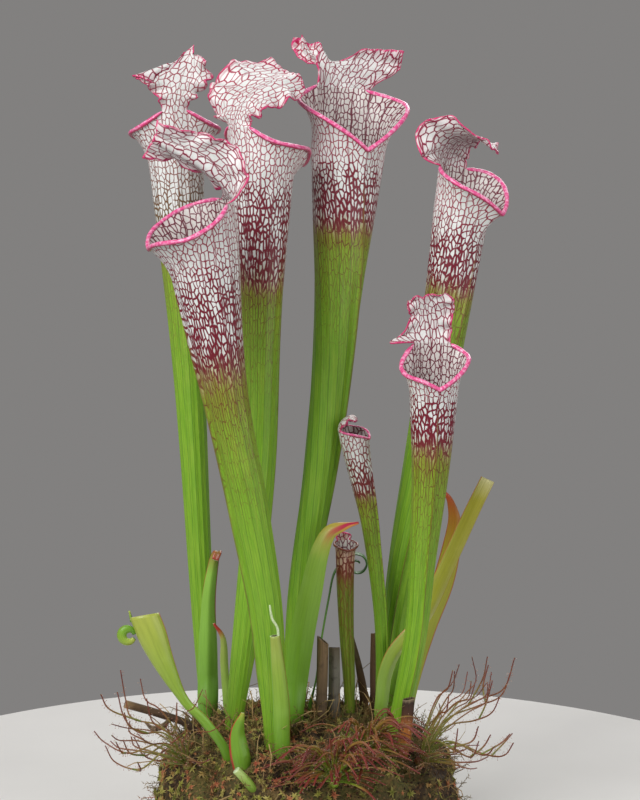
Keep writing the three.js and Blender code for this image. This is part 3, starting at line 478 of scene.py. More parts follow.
def floor_finish():
    s = Shader("floor")
    cloudy = s.noise(s.place(), 9, 3)
    colour = s.mix(cloudy, (226, 224, 221), (214, 212, 209))
    return s.finish(colour, 0.6)


floor = table_top()
floor.data.materials.append(floor_finish())
print("floor radius in mm:", FLOOR_RADIUS)

# %% [markdown]
# ## The pitchers
# A pitcher is one leaf rolled into a tube. Each has an axis, a radius along it, a mouth that slants
# up from a low front to a neck at the back, a lip that flares outward and rolls over, and a lid that
# grows on from the neck along a midrib. A grid fits it better than any ready shape: the same rule
# that shaped the solid gives the points, only closer together. Sizes that most pitchers share are
# named once. The stages say how far below the lip the white net, the spotted maroon and the red
# streaks end, in millimetres.

# %% Pitcher sizes
USUAL = dict(
    twist=0, wing=2.5, tilt=0, fold_left=[0, 0], fold_right=[0, 0], slant_left=[0, 0],
    slant_right=[0, 0], notch_left=0, notch_right=0, scallop=1.3, lobe=8, skin="red",
)
PITCHERS = {
    "pitcher_back_left": dict(
        axis=[[-70, 44, 48], [-77.5, 50, 190], [-83, 55, 300], [-89, 58, 400], [-93, 60, 490]],
        radius=[5.3, 8, 10, 13, 20.5], facing=95, wing=2,
        neck=0.42, mouth=30, rim=[0, 0.3, 0.5, 0.65, 1], flare=[12, 11, 12, 9, 1],
        flare_length=26, midrib=[[0, 0, 0], [-1, -2, 11], [0, -6, 22], [2, -11, 34], [4, -16, 46]],
        left=[13, 25, 31, 13], right=[12, 17, 18, 6], curl_left=[0.2, -0.2, -0.2, 0],
        curl_right=[0.2, -0.2, -0.2, 0], slant_left=[0, -4, -12, -24, -36],
        slant_right=[0, 0, 0, -3, -6], notch_left=8, notch_right=5, ruffle=3, waves=3,
        stages=(48, 62, 84), scallop=5, lobe=11, skin="olive",
    ),
    "pitcher_second": dict(
        axis=[[-56, -9, 48], [-41, -7, 180], [-32.5, -4, 275], [-31, -2, 375], [-30, 0, 484]],
        radius=[5.3, 7.9, 9.7, 13.5, 22.5], facing=38, twist=-0.5,
        neck=0.55, mouth=26, rim=[0, 0.4, 0.5, 0.65, 1], flare=[14, 10, 8, 5, 1],
        flare_length=22, midrib=[[0, 0, 0], [3, 0, 11], [14, 0, 22], [33, 0, 31], [54, 0, 37]],
        left=[25, 35, 37, 31], right=[15, 20, 21, 18], curl_left=[0, -0.4, -0.6, -0.5],
        curl_right=[0.4, 0.3, 0.3, 0.4], slant_left=[0, -3, -6, -5, 0],
        slant_right=[0, -3, -6, -6, -6], fold_right=[0.1, 0.3, 0.5, 0.7], ruffle=3.5, waves=3.5,
        stages=(28, 80, 100), scallop=1.4,
    ),
    "pitcher_centre": dict(
        axis=[[-12, 4, 48], [-6, 9, 165], [9.5, 20, 270], [21, 34, 370], [30, 45, 492]],
        radius=[5.3, 7.8, 10.8, 16, 26.5], facing=-66, twist=2.4,
        neck=0.75, mouth=46, tilt=4.5, rim=[0, 0.31, 0.62, 0.82, 1], flare=[6, 9, 14, 12, 1],
        flare_length=30, midrib=[[0, 0, 0], [0, 3, 8], [0, 8, 15], [0, 12, 22], [2, 16, 29]],
        left=[20, 25, 33, 27], right=[22, 30, 39, 46], curl_left=[0.1, 0.1, 0.2, 0.2],
        curl_right=[0, -0.4, -0.6, -0.7], slant_left=[0, 0, 6, 13, 18],
        slant_right=[0, 0, 0, -8, -22], notch_left=-5, notch_right=24, ruffle=2.5, waves=3,
        stages=(22, 54, 72),
    ),
    "pitcher_front_left": dict(
        axis=[[-20, -48, 48], [-24.5, -55, 165], [-36.5, -64, 250], [-52.5, -72, 335], [-69, -80, 438]],
        radius=[6, 9.3, 12.4, 14.8, 25.5], facing=190, twist=0.3,
        neck=0.75, mouth=22, tilt=-6, rim=[0, 0.3, 0.5, 0.75, 1], flare=[9, 10, 8, 6, 1],
        flare_length=26, midrib=[[0, 0, 0], [8, 0, 13], [20, 0, 26], [33, 0, 37], [46, 0, 47]],
        left=[24, 25, 18, 13], right=[9, 7, 9, 14], curl_left=[0.1, -0.1, -0.2, -0.3],
        curl_right=[0.6, 0.6, 0.6, 0.6], slant_left=[0, -6, -8, -4, 4],
        slant_right=[0, -8, -12, -6, 0], fold_left=[-0.9, -1.25, -1.3, -1.1],
        fold_right=[0.1, 0.2, 0.5, 0.9], ruffle=2.5, waves=3.5,
        stages=(38, 84, 125),
    ),
    "pitcher_right": dict(
        axis=[[55, 39, 48], [69, 41, 180], [85, 43, 275], [98, 44, 360], [111, 45, 452]],
        radius=[5.3, 10, 13, 15.5, 20], facing=-35, twist=-1.6,
        neck=0.95, mouth=27, tilt=4, rim=[0, 0.4, 0.7, 0.9, 1], flare=[14, 11, 9, 6, 1],
        flare_length=24, midrib=[[0, 0, 0], [3, 0, 12], [12, 0, 21], [27, 0, 23], [42, 0, 17]],
        left=[20, 18, 12, 7], right=[28, 32, 22, 7], curl_left=[0.5, 0.4, 0.4, 0.8],
        curl_right=[0, -0.6, -0.8, -0.7], slant_right=[0, -8, -12, -6, 0], ruffle=2.5, waves=4,
        stages=(28, 56, 78),
    ),
    "pitcher_front_right": dict(
        axis=[[56, -14, 48], [76, -21, 150], [81.5, -27, 215], [86, -32, 275], [88, -35, 336]],
        radius=[5.2, 7.3, 8.4, 12, 17], facing=-82, twist=0.3,
        neck=0.8, mouth=26, tilt=5, rim=[0, 0.26, 0.46, 0.66, 1], flare=[4, 5, 6, 6, 1],
        flare_length=22, midrib=[[0, 0, 0], [-1, -1, 9], [-1, -3, 18], [0, -5, 25], [2, -7, 31]],
        left=[15, 19, 19, 9], right=[30, 12, 12, 9], curl_left=[0.4, 0.1, -0.2, -0.3],
        curl_right=[0.4, 0.1, -0.2, -0.3], slant_right=[0, -5, 0, 0, 0],
        notch_left=-2, notch_right=-3, ruffle=2.5, waves=3,
        stages=(16, 40, 68), scallop=1.1, lobe=7,
    ),
    "pitcher_young": dict(
        axis=[[52, 15, 50], [53.7, 14, 145], [46.5, 12, 220], [39.5, 10, 262], [34.3, 9, 290]],
        radius=[3.4, 3.7, 4.2, 5.9, 10.2], facing=-20, wing=1.2,
        neck=0.8, mouth=10, rim=[0, 0.3, 0.6, 0.8, 1], flare=[1, 1, 1, 0.5, 0],
        flare_length=12, midrib=[[0, 0, 0], [2, 0, 4], [6, 0, 7], [11, 0, 8], [15, 0, 4]],
        left=[9, 10, 8, 3], right=[10, 11, 8, 3], curl_left=[0.9, 0.8, 0.7, 0.6],
        curl_right=[0.9, 0.8, 0.7, 0.6], ruffle=1, waves=2,
        stages=(24, 38, 56), scallop=0.6, lobe=5, skin="young",
    ),
    "pitcher_seedling": dict(
        axis=[[32, 10, 50], [31, 10, 110], [29, 10, 150], [28, 10, 185], [28, 10, 212]],
        radius=[2.6, 3.6, 4.6, 5.6, 7], facing=-75, wing=0.8,
        neck=0.8, mouth=5, rim=[0, 0.3, 0.6, 0.8, 1], flare=[2, 2, 2, 1, 0],
        flare_length=8, midrib=[[0, 0, 0], [0, 0, 1.5], [0.5, 0, 3], [1, 0, 4.5], [1.5, 0, 6]],
        left=[6, 6, 5, 2], right=[6, 6, 5, 2], curl_left=[0.8, 0.6, 0.5, 0.5],
        curl_right=[0.8, 0.6, 0.5, 0.5], ruffle=0.4, waves=1,
        stages=(9, 18, 32), scallop=0.3, lobe=4, skin="seedling",
    ),
}
PITCHERS = {name: {**USUAL, **sizes} for name, sizes in PITCHERS.items()}
SMALL = ("pitcher_young", "pitcher_seedling")
print("pitchers:", len(PITCHERS))

# %% The rolled leaf's rule
WALL = 1.05
FOOT = 50
RIDGE_REACH = 8
RIDGE_START = 0.12
RIDGE_END = 0.94
RIDGE_FADE = 0.16
FLARE_POWER = 2.2
FLUTES = 14
FLUTE_DEPTH = 0.2
CELL_WIDTH = 3.1
CELL_HEIGHT = 4.8
LID_CELL = 5.0
LONG_CELL = 10
HIGHEST = -80
LOWEST = 500
FIRST_ROW = 30
CROWDING = 1.45
FAR = 99.0


def from_front(p, phi):
    """How far round a place is from the front of the mouth, 0 at the front and 1 at the neck."""
    return np.minimum(np.abs(phi) / (math.pi - p["neck"]), 1)


def lip_at(p, phi):
    q = from_front(p, phi)
    lean = p["tilt"] * np.sin(phi) * (1 - q**4) * np.minimum(2 * q, 1)
    return p["path"].length + p["mouth"] * along(p["rim"], q) + lean


def radius_at(p, v, phi, lip):
    near_lip = np.clip(1 - (lip - v) / p["flare_length"], 0, None) ** FLARE_POWER
    return along(p["radius"], v / p["path"].length) + along(p["flare"], from_front(p, phi)) * near_lip


def wall(p, v, total, beside=0.0, inset=0.0, rise=0.0):
    """A point of the tube. total runs once round from the front, beside is a shift in millimetres."""
    phi = np.where(total > math.pi, total - 2 * math.pi, total)
    lip = lip_at(p, phi)
    r = radius_at(p, v, phi, lip) - inset
    angle = total + np.arctan2(beside * np.minimum(1, r / RIDGE_REACH), r)
    turn = math.radians(p["facing"]) + p["twist"] * np.maximum(0, 1 - v / p["path"].length)
    way, face, left = p["path"].frame(v, turn)
    out = r + rise
    point = p["path"].at(v) + face * (out * np.cos(angle))[..., None]
    return point + left * (out * np.sin(angle))[..., None], angle - math.pi


def ridge_height(p, v, beside, total):
    """The seam down the front stands up as a thin wing."""
    share = (v - FOOT) / (p["path"].length - FOOT)
    shape = np.clip(np.minimum(share / RIDGE_START, (RIDGE_END - share) / RIDGE_FADE), 0, 1)
    at_seam = np.isclose(total, 0) | np.isclose(total, 2 * math.pi)
    return np.where(at_seam, p["wing"] * shape * np.cos(np.clip(beside, -1, 1) * math.pi / 2) ** 2, 0)


def cells_down(p, v):
    """Cells counted from the lip's low side. They grow longer the further down they are."""
    below = p["path"].length - v
    steps = np.arange(HIGHEST, LOWEST + 1.0)
    net, spots, _ = p["stages"]
    height = CELL_HEIGHT + (LONG_CELL - CELL_HEIGHT) * smooth(steps, net * 0.6, spots * 1.5)
    count = np.concatenate([[0], np.cumsum(1 / height[:-1])])
    cells = np.interp(0, steps, count) - np.interp(below, steps, count)
    return cells, np.interp(below, steps, height) / CELL_WIDTH


def stage_of(p, v):
    """The colour stage of a height: 0 at the lip's low side, 1, 2 and 3 where the stages end."""
    net, spots, streaks = p["stages"]
    below = p["path"].length - v
    known = [-100, 0, net, spots, streaks, streaks + 100]
    return np.interp(below, known, [-1, 0, 1, 2, 3, 4])


print("cells on a tube in mm:", CELL_WIDTH, "by", CELL_HEIGHT)

# %% The tube
def tube_columns(p, half, across):
    """Places round the tube: (angle, shift beside the seam), from the seam once round to it again."""
    near_seam = [(0, 0), (0, 0.25), (0, 0.5), (0, 0.75), (0, 1), (0.1, 0.5)]
    side = near_seam + [(angle, 0) for angle in np.linspace(0.2, math.pi - p["neck"], half)]
    back = [(math.pi - p["neck"] + 2 * p["neck"] * k / across, 0) for k in range(1, across)]
    other = [(2 * math.pi - angle, -shift) for angle, shift in reversed(side)]
    columns = np.array(side + back + other)
    return columns[:, 0], columns[:, 1], len(side) - 1


def tube_skin(surface, p, half, across, rows):
    total, beside, neck_start = tube_columns(p, half, across)
    phi = np.where(total > math.pi, total - 2 * math.pi, total)
    lip = lip_at(p, phi)
    shares = 1 - (1 - np.linspace(0, 1, rows)) ** CROWDING
    v = FOOT + (lip - FOOT) * shares[:, None]
    v = np.concatenate([0 * v[:1], 0 * v[:1] + FIRST_ROW, v])
    total, beside = np.broadcast_to(total, v.shape), np.broadcast_to(beside, v.shape)
    rise = ridge_height(p, v, beside, total)
    calm = smooth(v, FOOT, FOOT + 40) * (1 - smooth(v, lip - 40, lip - 12))
    rise = rise + FLUTE_DEPTH * calm * np.cos(FLUTES * total)
    outer, theta = wall(p, v, total, beside, 0, rise)
    inner, _ = wall(p, v[2:], total[2:], beside[2:], WALL)
    reach = p["neck_radius"] / CELL_WIDTH
    cells, stretch = cells_down(p, v)
    net = np.stack([theta * reach, cells], -1)
    zone = np.stack([theta * FLUTES / (2 * math.pi), stage_of(p, v)], -1)
    outer_ids = surface.add(outer[:, :-1], rim=FAR, stretch=stretch[:, :-1])
    inner_ids = surface.add(inner[:, :-1], rim=FAR, stretch=stretch[2:, :-1])
    surface.skin(closed(outer_ids), 0, net=net, zone=zone)
    surface.skin(closed(inner_ids), 1, flip=True, net=net[2:], zone=zone[2:])
    surface.cap(outer_ids[0], p["path"].at(0), 0, flip=True)
    surface.cap(inner_ids[0], p["path"].at(FOOT), 1)
    neck_end = neck_start + across
    count = len(total[0]) - 1
    round_front = [k % count for k in range(neck_end, count + neck_start + 1)]
    surface.skin(np.stack([outer_ids[-1][round_front], inner_ids[-1][round_front]]), 0)
    neck = slice(neck_start, neck_end + 1)
    edges = outer_ids[-1][neck], inner_ids[-1][neck]
    return edges, outer[-1][neck], net[-1][neck], zone[-1][neck]


# %% The lid
MARGIN_WAVE = 0.55
MARGIN_LENGTH = 7.5
MARGIN_BULGE = 0.28
NOTCH_POWER = 0.7
LID_FAN = 0.75
LID_VEINS = 3.2
NECK_BLEND = 0.12
STRAIGHT = 1e-5
SCALLOP_POWER = 5
RIGHT_SHIFT = 3.1
LEFT_PHASE = 1.3
RUFFLE_START = 0.15
RUFFLE_POWER = 2.5
EDGE_POWER = 7
TIP_POWER = 9
TIP_LOBE_POWER = 12
LOBE_POWER = 0.8
LOBE_MEAN = 0.62


def lobes(place, size, length):
    """Rounded lobes with sharp notches between them, along a margin."""
    return size * (np.abs(np.sin(math.pi * place / length)) ** LOBE_POWER - LOBE_MEAN)


def lid_points(p, w, side):
    """Points of the lid: w runs from the neck to the tip, side from 1 at the left to -1."""
    length = p["lid_length"]
    back_way, back_face, back_left = p["back"]
    rib = along(p["midrib"], w)

    def turned(place):
        return place[..., :1] * back_face + place[..., 1:2] * back_left + place[..., 2:] * back_way

    middle = p["neck_point"] + turned(rib)
    ahead = along(p["midrib"], np.minimum(w + 0.01, 1))
    way = unit(turned(ahead - along(p["midrib"], np.maximum(w - 0.01, 0))))
    blend = np.clip(1 - w / NECK_BLEND, 0, 1)[..., None]
    way = unit(way * (1 - blend) + back_way * blend)
    out = unit(back_left - (way @ back_left)[..., None] * way)
    inward = np.cross(out, way)
    left = side > 0
    start = p["neck"] * p["neck_radius"]

    def pick(key, *first):
        sides = [along([*first, *p[key + name]], w) for name in ("left", "right")]
        return np.where(left, *sides)

    half = pick("", start)
    fine = smooth(w, 0.05, 0.2)
    shift = np.where(left, 0.0, RIGHT_SHIFT)
    scallops = lobes(w * length + shift, p["scallop"], p["lobe"])
    half = half + fine * np.abs(side) ** SCALLOP_POWER * scallops
    roll = pick("curl_", 1) / p["neck_radius"]
    roll = np.where(np.abs(roll) < STRAIGHT, STRAIGHT, roll)
    turn = roll * side * half
    slant = pick("slant_") * side**2
    fold = pick("fold_", 0) * smooth(np.abs(side), 0, 0.3)
    depth = np.where(left, p["notch_left"], p["notch_right"])
    notch = depth * w**2 * np.abs(np.sin(math.pi * side)) ** NOTCH_POWER
    phase = np.where(left, LEFT_PHASE, 0)
    wave = np.sin(2 * math.pi * p["waves"] * w + phase)
    wave = wave + 0.4 * np.sin(2 * math.pi * 1.7 * p["waves"] * w + 2.1 * phase + 1)
    ruffle = p["ruffle"] * np.minimum(w / RUFFLE_START, 1) * np.abs(side) ** RUFFLE_POWER * wave
    along_edge = np.sin(2 * math.pi * (w * length + 2 * shift) / MARGIN_LENGTH)
    edge = fine * np.abs(side) ** EDGE_POWER * along_edge
    tip = w**TIP_POWER * np.sin(2 * math.pi * side * half / MARGIN_LENGTH)
    ruffle = ruffle + MARGIN_WAVE * p["lobe"] / 8 * (edge + tip)
    tip_lobes = w**TIP_LOBE_POWER * lobes(side * half + 1.5, p["scallop"], p["lobe"]) * (1 - side**8)
    across = np.sin(turn) / roll - ruffle * np.sin(turn)
    deep = (1 - np.cos(turn)) / roll + ruffle * np.cos(turn)
    lean = np.sign(side) * np.sin(fold)
    aside = (across * np.cos(fold) - deep * lean)[..., None]
    inside = (across * lean + deep * np.cos(fold))[..., None]
    point = middle + aside * out + inside * inward
    return point + (slant - notch + tip_lobes)[..., None] * way, half


def margin(grid, inset=0):
    """The left edge, the top edge and the right edge of a grid in one row, or the row beside it."""
    return np.concatenate([grid[:, inset], grid[-1 - inset, 1:], grid[-2::-1, -1 - inset]])


def lid_skin(surface, p, edges, first_row, net_row, zone_row, rows):
    across = len(first_row) - 1
    places = 1 - 2 * np.arange(across + 1) / across
    w, side = np.meshgrid(np.linspace(0, 1, rows + 1), places, indexing="ij")
    points, half = lid_points(p, w, side)
    points[0] = first_row
    normal = unit(np.cross(np.gradient(points, axis=1), np.gradient(points, axis=0)))
    inner = points - normal * WALL
    length = p["lid_length"]
    rim = np.minimum((1 - np.abs(side)) * half, (1 - w) * length)
    start = p["neck"] * p["neck_radius"]
    fanned = start * (half / start) ** LID_FAN
    net = np.stack([-side * fanned / CELL_WIDTH, net_row[:, 1] + w * length / LID_CELL], -1)
    zone = np.stack([-side * LID_VEINS, zone_row[:, 1] - w * length / 100], -1)
    stretch = LID_CELL * fanned / (CELL_WIDTH * half)
    outer_ids = surface.add(points[1:], rim=rim[1:], stretch=stretch[1:])
    inner_ids = surface.add(inner[1:], rim=rim[1:], stretch=stretch[1:])
    outer_ids = np.concatenate([edges[0][None], outer_ids])
    inner_ids = np.concatenate([edges[1][None], inner_ids])
    surface.skin(outer_ids, 4, net=net, zone=zone)
    surface.skin(inner_ids, 2, flip=True, net=net, zone=zone)
    outward = unit(margin(points) - margin(points, 1))
    bulge = (margin(points) + margin(inner)) / 2 + outward * MARGIN_BULGE
    low, middle, high = margin(inner_ids), surface.add(bulge, rim=0.0), margin(outer_ids)
    maps = {"net": np.stack([margin(net)] * 3), "zone": np.stack([margin(zone)] * 3)}
    surface.skin(np.stack([low, middle, high]), 4, flip=True, **maps)
    surface.skin(np.array([[low[0], high[0]], [middle[0], middle[0]]]), 4)
    surface.skin(np.array([[low[-1], middle[-1]], [high[-1], high[-1]]]), 4)


# %% The rolled lip
LIP_RADIUS = 1.6
LIP_SIDES = 12
LIP_TAPER = 0.22
LIP_DROP = 0.25
LIP_END = 0.35
LIP_PATCH = 3.6


def lip_skin(surface, p, steps, radius):
    phi = np.linspace(-(math.pi - p["neck"]), math.pi - p["neck"], steps)
    total = np.where(phi < 0, phi + 2 * math.pi, phi)
    lip = lip_at(p, phi)
    centre, _ = wall(p, lip - LIP_DROP * radius, total, 0, 0.2 - 0.1 * radius)
    outside, _ = wall(p, lip - LIP_DROP * radius, total, 0, -4)
    way = unit(np.gradient(centre, axis=0))
    outward = unit(outside - centre)
    outward = unit(outward - (outward * way).sum(1, keepdims=True) * way)
    up = np.cross(outward, way)
    near_end = (math.pi - p["neck"] - np.abs(phi)) / LIP_TAPER
    size = radius * (LIP_END + (1 - LIP_END) * np.sqrt(np.clip(near_end, 0, 1)))
    size = size * (1 + 0.06 * np.sin(phi * 9 + 1) + 0.05 * np.sin(phi * 23))
    turn = np.linspace(0, 2 * math.pi, LIP_SIDES + 1)
    ring = outward[:, None] * np.cos(turn)[:, None] + up[:, None] * np.sin(turn)[:, None]
    points = centre[:, None] + ring * size[:, None, None]
    ids = surface.add(points[:, :-1], rim=FAR)
    run = np.concatenate([[0], np.cumsum(np.linalg.norm(np.diff(centre, axis=0), axis=1))])
    net = np.stack(np.broadcast_arrays(run[:, None] / LIP_PATCH, turn / (2 * math.pi)), -1)
    outwards = np.cross(np.gradient(points, axis=0)[2, 0], np.gradient(points, axis=1)[2, 0])
    flip = outwards @ (points[2, 0] - centre[2]) > 0
    surface.skin(closed(ids), 3, flip=flip, net=net, zone=net)
    for end in (0, -1):
        surface.cap(ids[end], centre[end], 3, flip=(end == 0) ^ flip, rim=FAR)


print("the lip is a roll", 2 * LIP_RADIUS, "mm thick")

# %% [markdown]
# ## The netted skin
# The top of a leaf is white tissue between red veins. The veins form a net of long cells, which a
# Voronoi texture draws from its distance to the cell edges. The texture reads the leaf's own UV
# map, whose unit is one cell, so the cells run along the tube and grow wider with it. Further down
# the veins swell until only white spots are left in maroon, then the maroon breaks up into streaks,
# and the rest is green with dark lengthwise veins. A second UV map counts those lengthwise veins
# and the colour stages.

# %% Netted finish
def netted_finish(name, colours, inner=0.0, lid=False):
    s = Shader(name)
    net = s.uv("net")
    fan, stage, _ = s.split(s.uv("zone"))
    u, v, _ = s.split(net)
    rim = s.attribute("rim")
    wander = s.noise(net, 0.8, 2, out=1)
    place = s.shift(net, wander, 0.55)
    flat = {"voronoi_dimensions": "2D"}
    cells = {"Vector": place, "Scale": 1.0, "Randomness": 0.85}
    edge_of = {**flat, "feature": "DISTANCE_TO_EDGE"}
    near = s.node("TexVoronoi", {**flat, "feature": "F1"}, out=2, **cells)
    next_ = s.node("TexVoronoi", {**flat, "feature": "F2"}, out=2, **cells)
    across, along_, _ = s.split(s.vector("NORMALIZE", s.vector("SUBTRACT", next_, near)))
    tall = along_ / s.attribute("stretch").most(0.3)
    slope = (across * across + tall * tall).math("SQRT").most(0.1)
    cell_edge = s.node("TexVoronoi", edge_of, **cells) / slope
    fine_edge = s.node("TexVoronoi", edge_of, Vector=place, Scale=2.3, Randomness=1.0)
    width = stage.line(-1, 0.1, 0.07, 0.1) + stage.line(0.3, 1, 0, 0.13) + stage.line(1, 2, 0, 0.2)
    blotch = s.noise(s.join(u * 0.35, v * 0.3), 1.0, 3)
    width = width + inner * 0.02 + (blotch - 0.5) * stage.between(0, 0.9, 0, 0.8)
    if lid:
        width = width + rim.between(0, 7, 0.04, 0)
    vein = cell_edge.between(width * 0.6, width * 1.15 + 0.03, 1, 0)
    halo = cell_edge.between(0.02, 0.3, 1, 0)
    small = fine_edge.between(0.02, 0.09, 0.5, 0) * stage.between(0.2, 1.0, 1, 0)
    wavy = s.noise(s.join(u * 0.5, v * 0.35), 1.0, 2)
    bent = fan + (wavy - 0.5) * 0.35
    beside_main = 0.5 - abs(bent.fraction() - 0.5)
    main = beside_main.between(0.015, 0.075, 1, 0)
    half_main = (0.5 - abs((fan * 3.0).fraction() - 0.5)).between(0.03, 0.13, 1, 0)
    streaky = s.noise(s.join(u * 1.1, v * 0.3), 1.5, 3)
    thread = s.noise(s.join(u * 1.5, v * 0.1), 1.5, 2)
    fade = stage + (streaky - 0.5) * 1.1 + (blotch - 0.5) * 0.9
    white = s.mix(blotch.between(0.3, 0.7), colours["white"], colours["shade"])
    white = s.mix(halo * colours["blush"], white, colours["pink"])
    white = s.mix(small * 0.45, white, colours["pink"])
    green = s.mix(streaky.between(0.35, 0.65), colours["green"], colours["deep"])
    green = s.mix(blotch.between(0.45, 0.75) * 0.35, green, colours["yellow"])
    green = s.mix(stage.between(2.0, 3.6, 0.75, 0), green, colours["olive"])
    lines = (main * 0.65).most(half_main * 0.3)
    green = s.mix(lines, green, colours["line"])
    ground = s.mix((stage + (blotch - 0.5) * 0.5).between(1.6, 2.3), white, colours["dull"])
    ground = s.mix(fade.between(1.9, 2.5), ground, green)
    red = s.mix(stage.between(-0.6, 1.0), colours["vein"], colours["low"])
    red = s.mix(fade.between(1.5, 2.6), red, colours["brown"])
    netted = vein.most(main * stage.between(-0.2, 0.7, colours["main"], 0.9))
    netted = netted * fade.between(2.0, 2.6, 1, 0)
    late = cell_edge.between(0.07, 0.2, 1, 0).most(fine_edge.between(0.02, 0.1, 0.6, 0))
    late = late * stage.between(1.8, 2.2) * fade.between(2.5, 4.2, 0.95, 0)
    stain = fade.between(1.2, 2.0) * fade.between(2.2, 3.1, 1, 0) * 0.25
    threads = thread.between(0.5, 0.58) * fade.between(1.7, 2.2) * fade.between(2.4, 3.6, 0.5, 0)
    mask = netted.most(stain).most(threads).most(late)
    colour = s.mix(mask, ground, red)
    if lid:
        teeth = s.noise(s.join(u * 1.0, v * 1.0), 2.2, 1)
        edge = (rim + teeth * 3.6).between(1.7, 2.9, 1, 0)
        near = (rim + teeth * 5).between(3, 9, 0.15, 0)
        colour = s.mix(near, colour, colours["rim"])
        colour = s.mix(edge, colour, colours["rim"])
        rib = abs(fan).between(0.03, 0.13, 1, 0) * stage.between(-0.75, -0.1, 0, 1)
        colour = s.mix(rib * 0.8, colour, colours["low"])
    else:
        seam = abs(fan).between(FLUTES / 2 - 0.1, FLUTES / 2 - 0.04)
        colour = s.mix(seam * stage.between(0.8, 1.6) * 0.6, colour, colours["seam"])
    height = vein * 0.5 + main * 0.4 + streaky * 0.2
    rough = 0.42 + blotch * 0.14 - mask * 0.06
    return s.finish(colour, rough, height, 0.16, 0.06)


NET = {
    "white": (238, 243, 240), "shade": (222, 229, 225), "pink": (226, 158, 172),
    "blush": 0.22, "vein": (158, 22, 62), "low": (118, 24, 46), "brown": (108, 50, 38),
    "green": (134, 182, 46), "deep": (116, 166, 38), "yellow": (158, 184, 62),
    "olive": (162, 170, 54), "line": (78, 120, 30), "dull": (206, 204, 140),
    "rim": (214, 58, 116), "seam": (122, 102, 48), "main": 0.45,
}
OLIVE = {
    **NET, "vein": (150, 62, 74), "low": (112, 84, 52), "brown": (120, 100, 52),
    "seam": (104, 110, 44), "dull": (176, 188, 120),
}
YOUNG = {**NET, "vein": (150, 40, 54), "low": (120, 40, 44), "seam": (120, 40, 36)}
SEEDLING = {
    **NET, "white": (206, 176, 156), "shade": (176, 132, 104), "vein": (120, 44, 40),
    "low": (116, 50, 40), "brown": (122, 66, 44), "green": (124, 146, 44),
    "deep": (104, 128, 38), "dull": (140, 100, 66), "olive": (126, 122, 46),
}
# Inside the tube the whites and the veins are painted darker: this is painted shade for the inside of the
# tube.
SHADED_THROAT_COLOURS = {
    "white": (222, 222, 216), "shade": (204, 202, 196), "vein": (104, 20, 48),
    "low": (84, 18, 40), "blush": 0.4, "pink": (204, 140, 156), "main": 0.95,
}
INSIDE_LID = {"vein": (128, 20, 54), "shade": (214, 218, 214), "blush": 0.32, "main": 0.95}


def lip_finish(name, light, deep, under_shade_and_specks):
    s = Shader(name)
    run, round_, _ = s.split(s.uv("net"))
    patch = s.noise(s.join(run * 0.9, round_ * 1.6), 1.5, 2)
    fine = s.noise(s.place(), 900, 2)
    colour = s.mix(patch.between(0.46, 0.6), deep, light)
    # Painted shade: the lower side of the lip's roll is painted a deep crimson, as the shade under the
    # roll. The same colour also gives small random specks.
    painted_under_shade = abs(round_ - 0.75).between(0.1, 0.24, 1, 0)
    colour = s.mix(painted_under_shade * 0.85, colour, under_shade_and_specks)
    colour = s.mix(fine.between(0.5, 0.8) * 0.2, colour, under_shade_and_specks)
    return s.finish(colour, 0.3, fine, 0.08, 0.25)


# The third colour of each lip is the painted shade under its roll, also used for small random specks.
lip_pink = lip_finish("lip", (252, 162, 200), (235, 88, 148), (176, 26, 72))
lip_brown = lip_finish("brown_lip", (140, 76, 56), (110, 54, 44), (84, 40, 34))
SKINS = {"red": NET, "olive": OLIVE, "young": YOUNG, "seedling": SEEDLING}
skins = {}
for name, colours in SKINS.items():
    outside = netted_finish(name + "_outside", colours)
    # The inner wall of the tube gets the darker colours above, as painted shade inside the tube.
    shaded_throat = netted_finish(name + "_throat", {**colours, **SHADED_THROAT_COLOURS}, inner=1.0)
    inside_lid = netted_finish(name + "_inside_lid", {**colours, **INSIDE_LID}, lid=True)
    over_lid = netted_finish(name + "_lid", colours, lid=True)
    lip = lip_brown if name == "seedling" else lip_pink
    skins[name] = [outside, shaded_throat, inside_lid, lip, over_lid]
print("netted finishes:", len(skins) * 4)

# %% Make the pitchers
def pitcher(name, p):
    small = name in SMALL
    p["path"] = Path(p["axis"])
    neck_v = p["path"].length + p["mouth"]
    back = p["path"].frame(np.array([neck_v]), math.radians(p["facing"]))
    way, face, left = (vector[0] for vector in back)
    p["back"] = (way, face, left)
    p["neck_radius"] = float(radius_at(p, np.array([neck_v]), np.array([math.pi]), neck_v)[0])
    p["neck_point"] = p["path"].at(np.array([neck_v]))[0] - face * p["neck_radius"]
    rib = along(p["midrib"], np.linspace(0, 1, 60))
    p["lid_length"] = float(np.linalg.norm(np.diff(rib, axis=0), axis=1).sum())
    surface = Surface()
    half, across, rows, lid_rows = (18, 16, 48, 20) if small else (32, 40, 104, 58)
    edges, first_row, net_row, zone_row = tube_skin(surface, p, half, across, rows)
    lid_skin(surface, p, edges, first_row, net_row, zone_row, lid_rows)
    lip_skin(surface, p, 60 if small else 120, LIP_RADIUS * (0.55 if small else 1))
    piece = surface.piece(name + "_leaf", skins[p["skin"]], "white_net")
    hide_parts(name)
    return piece


pitchers = [pitcher(name, p) for name, p in PITCHERS.items()]
print("triangles in the pitchers:", sum(triangles(piece) for piece in pitchers))

# %% [markdown]
# ## The flat leaves
# Between the pitchers stand leaves that never opened, and old ones that were cut or dried. Each is a
# strap that follows a path: its two halves fold toward the front, and it is thickest at its middle.
# The solids carry the same rule with few points. Here a section has enough points for a round
# midrib and thin margins, and a map along and across the leaf lets its colours follow it.

